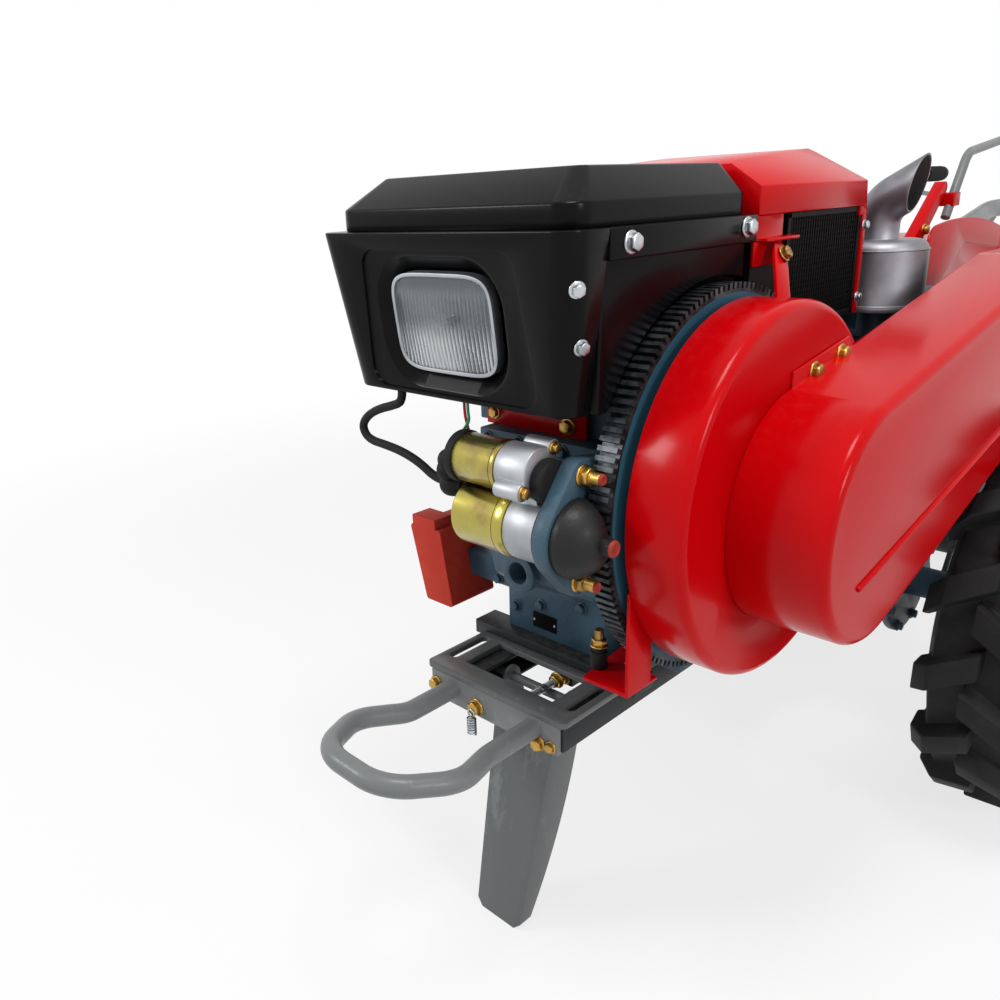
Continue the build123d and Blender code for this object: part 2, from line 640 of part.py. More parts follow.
with BuildPart() as starter_drive_end:
    with BuildSketch(across(STARTER_Y, STARTER_Z, STARTER_SPLIT)):
        Circle(STARTER_RADIUS - 1.0)
    extrude(amount=PLATE_X - STARTER_SPLIT)
    with BuildSketch(across(SOLENOID_Y, SOLENOID_Z, SOLENOID_SPLIT)):
        Circle(SOLENOID_RADIUS - 1.0)
    extrude(amount=SEAT_END - SOLENOID_SPLIT)
    with BuildSketch(across(STARTER_Y, STARTER_Z, STARTER_SPLIT)):
        with Locations((-SOLENOID_FORWARD / 2, SOLENOID_RISE / 2)):
            Rectangle(SOLENOID_RADIUS, SOLENOID_RISE)
    extrude(amount=SEAT_END - STARTER_SPLIT)
    with BuildSketch(across(SOLENOID_Y, SOLENOID_Z, STARTER_SPLIT)):
        with Locations((SOLENOID_RADIUS * 0.7, SOLENOID_RADIUS * 0.8), (-SOLENOID_RADIUS, -SOLENOID_RADIUS * 0.5)):
            Circle(SCREW_BOSS)
    extrude(amount=SEAT_END - STARTER_SPLIT)
    add(starter_motor.part, mode=Mode.SUBTRACT)

with BuildPart() as starter_mount_plate:
    with BuildSketch(across(STARTER_Y, STARTER_Z, PLATE_X)):
        Circle(DOME_RADIUS + 4.0)
        with Locations((12.0, DOME_RADIUS + 20.0), (6.0, -DOME_RADIUS - 8.0)):
            Circle(16.0)
        with Locations((STARTER_FORWARD - ENGINE_FRONT - 10.0, 6.0)):
            Rectangle(20.0, 2 * DOME_RADIUS + 40.0)
        make_hull()
    extrude(amount=STARTER_PLATE_THICK)
    with BuildSketch(Plane.YZ.offset(PLATE_X)):
        with Locations((CRANK_Y, CRANK_Z)):
            Rectangle(2 * ENGINE_FRONT, 4 * ENGINE_FRONT)
    extrude(amount=STARTER_PLATE_THICK, mode=Mode.SUBTRACT)

with BuildPart() as starter_dome:
    with BuildSketch(radial(ENGINE_LEFT, STARTER_Y, STARTER_Z)):
        with BuildLine():
            Line((0, 0), (0, DOME_RADIUS))
            Line((0, DOME_RADIUS), (DOME_REACH * 0.2, DOME_RADIUS))
            RadiusArc((DOME_REACH * 0.2, DOME_RADIUS), (DOME_REACH, DOME_NUB), DOME_RADIUS)
            Line((DOME_REACH, DOME_NUB), (DOME_REACH + DOME_NUB, DOME_NUB))
            Line((DOME_REACH + DOME_NUB, DOME_NUB), (DOME_REACH + DOME_NUB, 0))
            Line((DOME_REACH + DOME_NUB, 0), (0, 0))
        make_face()
    revolve(axis=shaft_axis(STARTER_Y, STARTER_Z))
    add(flywheel_room.part, mode=Mode.SUBTRACT)

# Flywheel with its ring gear, and the grooved pulley bolted to it
with BuildPart() as flywheel:
    with BuildSketch(across(CRANK_Y, CRANK_Z, FLYWHEEL_INNER)):
        Circle(RING_RADIUS - TOOTH_DEPTH)
        with PolarLocations(RING_RADIUS - TOOTH_DEPTH, RING_TEETH):
            Rectangle(2 * TOOTH_DEPTH, TOOTH_DEPTH * 0.75)
    extrude(amount=RING_WIDTH)

PULLEY_START = GUARD_FACE + RUN_GAP
with BuildPart() as drive_pulley:
    with BuildSketch(radial(RING_FACE, CRANK_Y, CRANK_Z)):
        Polygon(
            (0, 0),
            (0, PULLEY_RADIUS * 0.8),
            (PULLEY_START - RING_FACE, PULLEY_RADIUS * 0.8),
            (PULLEY_START - RING_FACE, PULLEY_RADIUS),
            (PULLEY_START - RING_FACE + BELT_BAND + 16.0, PULLEY_RADIUS),
            (PULLEY_START - RING_FACE + BELT_BAND + 16.0, 0),
            align=None,
        )
    revolve(axis=shaft_axis(CRANK_Y, CRANK_Z))

# Guards: a drum over the flywheel and a tapering box over the belts, their outer edges rolled
with BuildPart() as guard_cavity:
    with BuildSketch(across(CRANK_Y, CRANK_Z, GUARD_BACK)):
        Circle(GUARD_RADIUS - GUARD_SHEET)
    extrude(amount=GUARD_DEPTH - GUARD_SHEET)
    fillet(guard_cavity.edges().group_by(Axis.X)[-1], GUARD_EDGE - GUARD_SHEET)

with BuildPart() as flywheel_guard:
    with BuildSketch(across(CRANK_Y, CRANK_Z, GUARD_BACK)):
        Circle(GUARD_RADIUS)
    extrude(amount=GUARD_DEPTH)
    fillet(flywheel_guard.edges().group_by(Axis.X)[-1], GUARD_EDGE)
    add(guard_cavity.part, mode=Mode.SUBTRACT)
    with BuildSketch(across(CRANK_Y, CRANK_Z - NOSE_DROP, GUARD_BACK)):
        Circle(NOSE_RADIUS - 2 * GUARD_SHEET)
    extrude(amount=GUARD_DEPTH, mode=Mode.SUBTRACT)

with BuildPart() as belt_cavity:
    with BuildSketch(Plane.YZ.offset(GUARD_FACE)):
        with Locations((CRANK_Y, CRANK_Z - NOSE_DROP)):
            Circle(NOSE_RADIUS - GUARD_SHEET)
        with Locations((CLUTCH_Y - CLUTCH_SPAN, CLUTCH_Z), (CLUTCH_Y + CLUTCH_SPAN, CLUTCH_Z)):
            Circle(CLUTCH_END - GUARD_SHEET)
        make_hull()
    extrude(amount=BELT_DEPTH - GUARD_SHEET)
    fillet(belt_cavity.edges().group_by(Axis.X)[-1], GUARD_EDGE - GUARD_SHEET)

TAB_Z = CRANK_Z + NOSE_RADIUS
with BuildPart() as belt_guard:
    with BuildSketch(Plane.YZ.offset(GUARD_FACE)):
        with Locations((CRANK_Y, CRANK_Z - NOSE_DROP)):
            Circle(NOSE_RADIUS)
        with Locations((CLUTCH_Y - CLUTCH_SPAN, CLUTCH_Z), (CLUTCH_Y + CLUTCH_SPAN, CLUTCH_Z)):
            Circle(CLUTCH_END)
        make_hull()
    extrude(amount=BELT_DEPTH)
    fillet(belt_guard.edges().group_by(Axis.X)[-1], GUARD_EDGE)
    add(belt_cavity.part, mode=Mode.SUBTRACT)
    with BuildSketch(Plane.YZ.offset(GUARD_FACE)):
        Polygon(
            (CRANK_Y - TAB_HEIGHT / 2, TAB_Z - TAB_HEIGHT),
            (CRANK_Y - TAB_HEIGHT / 2, TAB_Z + TAB_HEIGHT * 0.25),
            (CRANK_Y + NOSE_RADIUS * 0.88, TAB_Z + TAB_HEIGHT),
            (CRANK_Y + NOSE_RADIUS * 0.96, TAB_Z + TAB_HEIGHT * 0.7),
            (CRANK_Y + NOSE_RADIUS * 0.96, TAB_Z - TAB_HEIGHT / 2),
            align=None,
        )
    extrude(amount=GUARD_SHEET + 1.0)

BELT_START = PULLEY_START + 8.0
with BuildPart() as drive_belts:
    with BuildSketch(Plane.YZ.offset(BELT_START)):
        with Locations((CRANK_Y, CRANK_Z)):
            Circle(PULLEY_RADIUS + FIT_GAP + BELT_THICK)
        with Locations((CLUTCH_Y, CLUTCH_Z)):
            Circle(CLUTCH_RADIUS + FIT_GAP + BELT_THICK)
        make_hull()
    extrude(amount=BELT_BAND)
    with BuildSketch(Plane.YZ.offset(BELT_START)):
        with Locations((CRANK_Y, CRANK_Z)):
            Circle(PULLEY_RADIUS + FIT_GAP)
        with Locations((CLUTCH_Y, CLUTCH_Z)):
            Circle(CLUTCH_RADIUS + FIT_GAP)
        make_hull()
    extrude(amount=BELT_BAND, mode=Mode.SUBTRACT)

with BuildPart() as clutch_pulley:
    with BuildSketch(across(CLUTCH_Y, CLUTCH_Z, BELT_START - 8.0)):
        Circle(CLUTCH_RADIUS)
    extrude(amount=BELT_BAND + 16.0)

BRACKET_Z = ENGINE_BASE + 57.0
BRACKET_THICK = 4.0
BRACKET_TOP = ENGINE_BASE + 175.0
BRACKET_FRONT = CRANK_Y - ENGINE_FRONT - 42.0
FOOT_FACE = CRANK_Y - ENGINE_FOOT_FRONT + POCKET_DEPTH
with BuildPart() as guard_bracket:
    with BuildSketch(Plane.XY.offset(BRACKET_Z)):
        Polygon(
            (ENGINE_LEFT - 36.0, FOOT_FACE),
            (ENGINE_LEFT - 4.0, FOOT_FACE),
            (ENGINE_LEFT - 4.0, CRANK_Y - ENGINE_FRONT + 12.0),
            (GUARD_BACK, CRANK_Y - ENGINE_FRONT + 12.0),
            (GUARD_BACK, BRACKET_FRONT),
            (ENGINE_LEFT - 18.0, BRACKET_FRONT),
            align=None,
        )
    extrude(amount=BRACKET_THICK)
    with BuildSketch(Plane.YZ.offset(GUARD_BACK)):
        Polygon(
            (CRANK_Y - ENGINE_FRONT, BRACKET_Z),
            (BRACKET_FRONT, BRACKET_Z),
            (BRACKET_FRONT, BRACKET_TOP),
            (CRANK_Y - ENGINE_FRONT, BRACKET_TOP),
            align=None,
        )
    extrude(amount=-BRACKET_THICK)

# Fuel tank on its bracket, the crown over it and the lamp housing in front
BRACKET_WEB = CRANK_Y - COVER_BACK - COVER_STEP
with BuildPart() as tank_bracket:
    with BuildSketch(Plane.XY.offset(BLOCK_TOP)):
        with Locations((0, BRACKET_WEB + 50.0)):
            Rectangle(2 * ENGINE_RIGHT, 100.0)
    extrude(amount=TANK_FLOOR - BLOCK_TOP)
    with BuildSketch(Plane.XY.offset(COVER_TOP)):
        with Locations((0, BRACKET_WEB + COVER_STEP / 4)):
            Rectangle(ENGINE_LEFT, COVER_STEP / 2)
    extrude(amount=TANK_FLOOR - COVER_TOP)

with BuildPart() as fuel_tank:
    with BuildSketch(Plane.XY.offset(TANK_FLOOR)):
        with Locations((TANK_SHIFT, (TANK_FRONT + TANK_REAR) / 2)):
            Rectangle(2 * TANK_BODY_HALF, TANK_REAR - TANK_FRONT)
    extrude(amount=TANK_TOP - TANK_FLOOR)
    fillet(fuel_tank.edges().filter_by(Axis.Z).group_by(Axis.Y)[-1], TANK_EDGE)
    with BuildSketch(Plane.XY.offset(TANK_TOP)):
        with Locations((TANK_SHIFT, (TANK_FRONT + TANK_REAR) / 2)):
            Rectangle(2 * TANK_HALF, TANK_REAR - TANK_FRONT)
    extrude(amount=-TANK_BAND)
    add(flywheel_room.part, mode=Mode.SUBTRACT)

with BuildPart() as tank_crown:
    with BuildSketch(Plane.XY.offset(TANK_TOP)):
        with Locations((TANK_SHIFT, (CROWN_FRONT + CROWN_REAR) / 2)):
            RectangleRounded(2 * CROWN_HALF, CROWN_REAR - CROWN_FRONT, CROWN_CORNER)
    extrude(amount=CROWN_WALL)
    with BuildSketch(Plane.XY.offset(TANK_TOP + CROWN_WALL)):
        with Locations((TANK_SHIFT, (CROWN_FRONT + CROWN_REAR) / 2)):
            RectangleRounded(2 * CROWN_HALF, CROWN_REAR - CROWN_FRONT, CROWN_CORNER)
    with BuildSketch(Plane.XY.offset(TANK_TOP + CROWN_RISE)):
        with Locations((TANK_SHIFT, (CROWN_FRONT + CROWN_SLOPE + CROWN_REAR - CROWN_TAIL) / 2)):
            RectangleRounded(
                2 * (CROWN_HALF - CROWN_HIP),
                CROWN_REAR - CROWN_TAIL - CROWN_FRONT - CROWN_SLOPE,
                CROWN_CORNER / 2,
            )
    loft()
    fillet(tank_crown.edges().group_by(Axis.Z)[-1], CROWN_EDGE)

LAMP_TILT = degrees(atan2(LAMP_RAKE, TANK_TOP - LAMP_FLOOR))
LENS_Y = LAMP_FRONT + LAMP_RAKE * (TANK_TOP - LENS_Z) / (TANK_TOP - LAMP_FLOOR)
LENS_PLANE = Plane(
    origin=(LENS_X, LENS_Y, LENS_Z),
    x_dir=(1, 0, 0),
    z_dir=(0, -cos(radians(LAMP_TILT)), -sin(radians(LAMP_TILT))),
)
PANEL_SHIFT = TANK_SHIFT - LENS_X
PANEL_TOP = (TANK_TOP - PANEL_MARGIN - LENS_Z) / cos(radians(LAMP_TILT))
PANEL_BASE = (LAMP_FLOOR + LAMP_LIP - LENS_Z) / cos(radians(LAMP_TILT))
with BuildPart() as lamp_housing:
    with BuildSketch(Plane.XZ.offset(-TANK_FRONT)):
        Polygon(
            (TANK_SHIFT - TANK_HALF, TANK_TOP),
            (TANK_SHIFT + TANK_HALF, TANK_TOP),
            (TANK_SHIFT + LAMP_FLOOR_HALF, LAMP_FLOOR),
            (TANK_SHIFT - LAMP_FLOOR_HALF, LAMP_FLOOR),
            align=None,
        )
    extrude(amount=TANK_FRONT - LAMP_FRONT)
    with BuildSketch(Plane.YZ):
        Polygon(
            (LAMP_FRONT, TANK_TOP),
            (TANK_FRONT, TANK_TOP),
            (TANK_FRONT, LAMP_FLOOR),
            (LAMP_FRONT + LAMP_RAKE, LAMP_FLOOR),
            align=None,
        )
    extrude(amount=2 * TANK_HALF, both=True, mode=Mode.INTERSECT)
    brow_edges = lamp_housing.faces().sort_by(Axis.Y)[0].edges().sort_by(Axis.X)
    fillet([brow_edges[0], brow_edges[-1]], LAMP_EDGE)
    with BuildSketch(LENS_PLANE):
        Polygon(
            (PANEL_SHIFT - PANEL_HALF, PANEL_TOP),
            (PANEL_SHIFT + PANEL_HALF, PANEL_TOP),
            (PANEL_SHIFT + PANEL_FLOOR_HALF, PANEL_BASE),
            (PANEL_SHIFT - PANEL_FLOOR_HALF, PANEL_BASE),
            align=None,
        )
        fillet(vertices(), PANEL_CORNER)
    extrude(amount=-PANEL_SINK, mode=Mode.SUBTRACT)
    with BuildSketch(LENS_PLANE.offset(-PANEL_SINK)):
        RectangleRounded(LENS_WIDTH + 2 * LENS_FLARE, LENS_HEIGHT + 2 * LENS_FLARE, LENS_CORNER + LENS_FLARE)
    with BuildSketch(LENS_PLANE.offset(-LENS_DEPTH)):
        RectangleRounded(LENS_WIDTH, LENS_HEIGHT, LENS_CORNER)
    loft(mode=Mode.SUBTRACT)
    add(flywheel_room.part, mode=Mode.SUBTRACT)

with BuildPart() as headlamp:
    with BuildSketch(LENS_PLANE.offset(-LENS_DEPTH)):
        RectangleRounded(LENS_WIDTH - 2 * FIT_GAP, LENS_HEIGHT - 2 * FIT_GAP, LENS_CORNER)
    extrude(amount=LENS_THICK)
    fillet(headlamp.faces().sort_by(Axis.Y)[0].edges(), LENS_CROWN)

# Radiator: core on the block, red hood with its side skirts, mesh on the belt side
with BuildPart() as radiator_core:
    with BuildSketch(Plane.XY.offset(BLOCK_TOP)):
        with Locations((0, (CORE_FRONT + HOOD_REAR) / 2)):
            Rectangle(2 * CORE_HALF, HOOD_REAR - CORE_FRONT)
    extrude(amount=HOOD_FLOOR - BLOCK_TOP)
    add(flywheel_room.part, mode=Mode.SUBTRACT)

SKIRT_X = CORE_HALF + MESH_THICK - 2.0
SKIRT_MID = HOOD_FRONT + SKIRT_LENGTH / 2
LEDGE_Z = HOOD_FLOOR - LEDGE_DROP
STRIP_Y = HOOD_REAR - STRIP_WIDTH / 2
with BuildPart() as radiator_hood:
    with BuildSketch(Plane.YZ):
        Polygon(
            (HOOD_FRONT, HOOD_FLOOR),
            (HOOD_FRONT, HOOD_BROW),
            (HOOD_REAR - HOOD_TAIL, HOOD_TOP),
            (HOOD_REAR - HOOD_TAIL / 8, HOOD_CREASE),
            (HOOD_REAR, HOOD_FLOOR),
            align=None,
        )
        fillet(vertices().group_by(Axis.Y)[-1], HOOD_TAIL / 3)
    extrude(amount=HOOD_HALF, both=True)
    with BuildSketch(Plane.XZ.offset(-HOOD_FRONT)):
        Polygon(
            (-HOOD_HALF, HOOD_FLOOR),
            (-HOOD_HALF, HOOD_CREASE),
            (-HOOD_HALF + HOOD_HIP, HOOD_TOP),
            (HOOD_HALF - HOOD_HIP, HOOD_TOP),
            (HOOD_HALF, HOOD_CREASE),
            (HOOD_HALF, HOOD_FLOOR),
            align=None,
        )
    extrude(amount=-(HOOD_REAR - HOOD_FRONT), mode=Mode.INTERSECT)
    with BuildSketch(Plane.YZ.offset(SKIRT_X)):
        with Locations((SKIRT_MID, HOOD_FLOOR - SKIRT_DROP / 2)):
            Rectangle(SKIRT_LENGTH, SKIRT_DROP)
        with Locations((STRIP_Y + STRIP_WIDTH, HOOD_FLOOR - MESH_DROP / 2)):
            Rectangle(STRIP_WIDTH, MESH_DROP)
        with Locations((STRIP_Y + STRIP_WIDTH / 2, HOOD_FLOOR - STRIP_WIDTH / 2)):
            Rectangle(2 * STRIP_WIDTH, STRIP_WIDTH)
    extrude(amount=SKIRT_THICK)
    with BuildSketch(Plane.XY.offset(LEDGE_Z)):
        with Locations((SKIRT_X + (SKIRT_THICK + LEDGE_REACH) / 2, SKIRT_MID + STRIP_WIDTH)):
            Rectangle(SKIRT_THICK + LEDGE_REACH, SKIRT_LENGTH + STRIP_WIDTH)
    extrude(amount=SKIRT_THICK)
    mirror(about=Plane.YZ)
    add(radiator_core.part, mode=Mode.SUBTRACT)

MESH_REAR = HOOD_REAR - FIT_GAP
MESH_LENGTH = MESH_REAR - MESH_FRONT
MESH_PITCH = ((MESH_LENGTH - MESH_BAND) / MESH_COLUMNS, (MESH_DROP - 2 * MESH_BAND) / MESH_ROWS)
with BuildPart() as radiator_mesh:
    with BuildSketch(across(MESH_REAR - MESH_LENGTH / 2, HOOD_FLOOR - MESH_DROP / 2, CORE_HALF)):
        Rectangle(MESH_LENGTH, MESH_DROP)
        with GridLocations(*MESH_PITCH, MESH_COLUMNS, MESH_ROWS):
            Rectangle(MESH_PITCH[0] - MESH_BAR, MESH_PITCH[1] - MESH_BAR, mode=Mode.SUBTRACT)
    extrude(amount=MESH_THICK)
    add(flywheel_room.part, mode=Mode.SUBTRACT)
    add(radiator_hood.part, mode=Mode.SUBTRACT)

# Strap from the guard's rim up to the hood's ledge, a second piece of the guard's bracket
STRAP_FOOT = Vector(GUARD_BACK + STRAP_WIDTH / 2, CRANK_Y + GUARD_RADIUS * 0.31, CRANK_Z + GUARD_RADIUS * 0.94)
STRAP_HEAD = Vector(SKIRT_X + SKIRT_THICK + LEDGE_REACH / 2, SKIRT_MID + STRIP_WIDTH, LEDGE_Z)
with BuildPart() as guard_strap:
    with BuildSketch(Plane(origin=STRAP_FOOT, x_dir=(0, 1, 0), z_dir=STRAP_HEAD - STRAP_FOOT)):
        Rectangle(STRAP_WIDTH, STRAP_THICK)
    extrude(amount=(STRAP_HEAD - STRAP_FOOT).length - STRAP_THICK)
    add(flywheel_guard.part, mode=Mode.SUBTRACT)
    add(guard_cavity.part, mode=Mode.SUBTRACT)
    add(radiator_hood.part, mode=Mode.SUBTRACT)

# Silencer drum with a rolled lip and a raked outlet elbow
MUFFLER_Y = CRANK_Y + MUFFLER_BACK
MUFFLER_TOP = MUFFLER_FLOOR + MUFFLER_HEIGHT
ELBOW_X = MUFFLER_X - ELBOW_OFFSET
ELBOW_DIR = Vector(cos(radians(ELBOW_SLOPE)), 0, sin(radians(ELBOW_SLOPE)))
ELBOW_KNEE = Vector(ELBOW_X, MUFFLER_Y, MUFFLER_TOP + ELBOW_RISE)
ELBOW_MOUTH = ELBOW_KNEE + ELBOW_DIR * (ELBOW_REACH / ELBOW_DIR.X)
ELBOW_CUT = Plane(origin=ELBOW_MOUTH, z_dir=(cos(radians(ELBOW_LEAN)), 0, -sin(radians(ELBOW_LEAN))))
outlet = bar_along(
    [(ELBOW_X, MUFFLER_Y, MUFFLER_TOP - ELBOW_WALL), ELBOW_KNEE, ELBOW_MOUTH + ELBOW_DIR * ELBOW_RADIUS],
    ELBOW_BEND,
    ELBOW_RADIUS,
)
with BuildPart() as muffler:
    with BuildSketch(Plane.XY.offset(MUFFLER_FLOOR)):
        with Locations((MUFFLER_X, MUFFLER_Y)):
            Circle(MUFFLER_RADIUS)
    extrude(amount=MUFFLER_HEIGHT)
    fillet(muffler.edges().group_by(Axis.Z)[-1], MUFFLER_SHOULDER)
    with BuildSketch(Plane.XY.offset(MUFFLER_FLOOR)):
        with Locations((MUFFLER_X, MUFFLER_Y)):
            Circle(MUFFLER_RADIUS + MUFFLER_LIP)
    extrude(amount=2 * MUFFLER_LIP)
    add(outlet)
    with BuildSketch(ELBOW_CUT):
        Rectangle(4 * ELBOW_RADIUS, 4 * ELBOW_RADIUS)
    extrude(amount=2 * ELBOW_RADIUS, mode=Mode.SUBTRACT)
    with BuildSketch(Plane(origin=ELBOW_MOUTH - ELBOW_DIR * ELBOW_RADIUS, z_dir=ELBOW_DIR)):
        Circle(ELBOW_RADIUS - ELBOW_WALL)
    extrude(amount=4 * ELBOW_RADIUS, mode=Mode.SUBTRACT)

# Air cleaner on the right of the head
CLEANER_X = -HEAD_HALF - CLEANER_RADIUS - 14.0
CLEANER_Y = HEAD_FRONT + HEAD_LENGTH / 2
with BuildPart() as air_cleaner:
    with BuildSketch(Plane.XY.offset(CRANK_Z - 10.0)):
        with Locations((CLEANER_X, CLEANER_Y)):
            Circle(CLEANER_RADIUS)
    extrude(amount=CLEANER_HEIGHT)
    chamfer(air_cleaner.edges().group_by(Axis.Z)[-1], 18.0)
    with BuildSketch(across(CLEANER_Y, CRANK_Z + 40.0, -HEAD_HALF)):
        Circle(ELBOW_RADIUS)
    extrude(amount=-CLEANER_RADIUS)

# Gearbox: a cast case with its axle housings and the clutch shaft housing
with BuildPart() as gearbox:
    with BuildSketch(Plane.YZ.offset(-GEARBOX_HALF)):
        with Locations((AXLE_Y, AXLE_Z)):
            Circle(GEARBOX_TOE)
        with Locations((CLUTCH_Y + 15.0, CLUTCH_Z)):
            Circle(GEARBOX_CREST)
        with Locations(GEARBOX_HEEL):
            Circle(GEARBOX_TOE)
        make_hull()
    extrude(amount=2 * GEARBOX_HALF)
    with BuildSketch(Plane.YZ):
        with Locations((GEARBOX_HEEL[0] + GEARBOX_TOE / 2, GEARBOX_HEEL[1])):
            Rectangle(GEARBOX_TOE + 20.0, 140.0)
    extrude(amount=70.0, both=True)
    with BuildSketch(Plane.YZ):
        with Locations((GEARBOX_FRONT + 30.0, RAIL_TOP - RAIL_HEIGHT / 2)):
            Rectangle(60.0, 2 * RAIL_HEIGHT)
    extrude(amount=RAIL_HALF, both=True)
    with BuildSketch(across(AXLE_Y, AXLE_Z)):
        Circle(AXLE_TUBE)
    extrude(amount=AXLE_FLANGE_X, both=True)
    with BuildSketch(across(AXLE_Y, AXLE_Z, AXLE_FLANGE_X - 12.0), across(AXLE_Y, AXLE_Z, -AXLE_FLANGE_X)):
        Circle(AXLE_FLANGE)
    extrude(amount=12.0)
    with BuildSketch(
        across(AXLE_Y, AXLE_Z, AXLE_FLANGE_X - AXLE_SEAT - RUN_GAP),
        across(AXLE_Y, AXLE_Z, -AXLE_FLANGE_X),
    ):
        Circle(AXLE_SHAFT + FIT_GAP)
    extrude(amount=AXLE_SEAT + RUN_GAP, mode=Mode.SUBTRACT)
    with BuildSketch(across(CLUTCH_Y, CLUTCH_Z, GEARBOX_HALF)):
        Circle(40.0)
    extrude(amount=BELT_START - 8.0 - GEARBOX_HALF)

# Handle posts: tapered flat bars on the gearbox, the left one with the clamp of the clutch rod
POST_RUN = Vector(POST_TOP[0] - POST_FOOT[0], POST_TOP[1] - POST_FOOT[1]).normalized()
POST_SIDE = Vector(-POST_RUN.Y, POST_RUN.X)
ROD_DIR = (0, ROD_CORNER[0] - ROD_FOOT[0], ROD_CORNER[1] - ROD_FOOT[1])
CLAMP_Y = POST_TOP[0] + CLAMP_SIZE[1] * 0.6
CLAMP_Z = ROD_FOOT[1] + ROD_DIR[2] / ROD_DIR[1] * (CLAMP_Y - ROD_FOOT[0])
with BuildPart() as post:
    with BuildSketch(Plane.YZ.offset(POST_X - POST_THICK / 2)):
        Polygon(
            (POST_FOOT[0] - POST_SIDE.X * POST_FOOT_WIDTH / 2, POST_FOOT[1] - POST_SIDE.Y * POST_FOOT_WIDTH / 2),
            (POST_TOP[0] - POST_SIDE.X * POST_TOP_WIDTH / 2, POST_TOP[1] - POST_SIDE.Y * POST_TOP_WIDTH / 2),
            (POST_TOP[0] + POST_SIDE.X * POST_TOP_WIDTH / 2, POST_TOP[1] + POST_SIDE.Y * POST_TOP_WIDTH / 2),
            (POST_FOOT[0] + POST_SIDE.X * POST_FOOT_WIDTH / 2, POST_FOOT[1] + POST_SIDE.Y * POST_FOOT_WIDTH / 2),
            align=None,
        )
        with Locations(POST_TOP):
            Circle(POST_TOP_WIDTH / 2)
    extrude(amount=POST_THICK)

with BuildPart() as handle_posts:
    add(post.part)
    mirror(post.part, about=Plane.YZ)
    with Locations((ROD_X - CLAMP_SIZE[0] * 0.24, CLAMP_Y, CLAMP_Z)):
        Box(*CLAMP_SIZE)
    with BuildSketch(Plane(origin=(ROD_X, *ROD_FOOT), z_dir=ROD_DIR)):
        Circle(LEVER_ROD + FIT_GAP)
    extrude(amount=4 * CLAMP_SIZE[0], mode=Mode.SUBTRACT)
    add(gearbox.part, mode=Mode.SUBTRACT)

GRIP_START = CRANK_Y + REAR_REACH - GRIP_LENGTH
left_bar = bar_along(
    [
        (POST_X, *BAR_START),
        BAR_KNEE,
        BAR_WAIST,
        (GRIP_X, GRIP_START - GRIP_LENGTH, BAR_HEIGHT),
        (GRIP_X, CRANK_Y + REAR_REACH - 4.0, BAR_HEIGHT),
    ],
    BAR_BEND,
    BAR_TUBE,
)
with BuildPart() as handle_tubes:
    add(left_bar)
    mirror(about=Plane.YZ)
    add(handle_posts.part, mode=Mode.SUBTRACT)

with BuildPart() as handle_grips:
    with BuildSketch(Plane.XZ.offset(-GRIP_START)):
        with Locations((GRIP_X, BAR_HEIGHT)):
            Circle(GRIP_RADIUS)
    extrude(amount=-GRIP_LENGTH)
    with BuildSketch(Plane.XZ.offset(-GRIP_START)):
        with Locations((GRIP_X, BAR_HEIGHT)):
            Circle(BAR_TUBE + FIT_GAP)
    extrude(amount=-(GRIP_LENGTH - 4.0 + FIT_GAP), mode=Mode.SUBTRACT)
    mirror(about=Plane.YZ)

# Shroud: two bowed cheeks joined by a deck over the gearbox, each cheek with a pressed teardrop
SHROUD_CROWN = (SHROUD_FRONT + SHROUD_PEAK * (SHROUD_REAR - SHROUD_FRONT), SHROUD_CREST)
DECK_Z = CLUTCH_Z + GEARBOX_CREST
with BuildPart() as gearbox_shroud:
    with BuildSketch(Plane.YZ.offset(SHROUD_HALF - SHROUD_SHEET)):
        with BuildLine():
            Line((SHROUD_FRONT, SHROUD_BASE), (SHROUD_FRONT, SHROUD_BROW))
            ThreePointArc((SHROUD_FRONT, SHROUD_BROW), SHROUD_CROWN, (SHROUD_REAR, SHROUD_TAIL))
            Line((SHROUD_REAR, SHROUD_TAIL), (SHROUD_REAR, SHROUD_BASE + SHROUD_CORNER))
            Line((SHROUD_REAR, SHROUD_BASE + SHROUD_CORNER), (SHROUD_REAR - SHROUD_CORNER, SHROUD_BASE))
            Line((SHROUD_REAR - SHROUD_CORNER, SHROUD_BASE), (SHROUD_FRONT, SHROUD_BASE))
        make_face()
        fillet(vertices().group_by(Axis.X)[0].sort_by(Axis.Y)[-1], SHROUD_CORNER)
    extrude(amount=SHROUD_SHEET)
    with BuildSketch(Plane.YZ.offset(SHROUD_HALF)):
        with Locations((SHROUD_CROWN[0], DECK_Z - EMBOSS_HEAD)):
            Circle(EMBOSS_HEAD)
        with Locations((SHROUD_CROWN[0] + EMBOSS_LENGTH, DECK_Z - EMBOSS_HEAD)):
            Circle(EMBOSS_TAIL)
        make_hull()
    extrude(amount=-EMBOSS_DEPTH, mode=Mode.SUBTRACT)
    mirror(about=Plane.YZ)
    with BuildSketch(Plane.XY.offset(DECK_Z)):
        with Locations((0, (SHROUD_FRONT + SHROUD_CORNER + SHROUD_REAR) / 2)):
            Rectangle(2 * SHROUD_HALF - SHROUD_SHEET, SHROUD_REAR - SHROUD_FRONT - SHROUD_CORNER)
    extrude(amount=SHROUD_SHEET)
    add(handle_posts.part, mode=Mode.SUBTRACT)
    add(left_bar, mode=Mode.SUBTRACT)
    add(mirror(left_bar, about=Plane.YZ, mode=Mode.PRIVATE), mode=Mode.SUBTRACT)

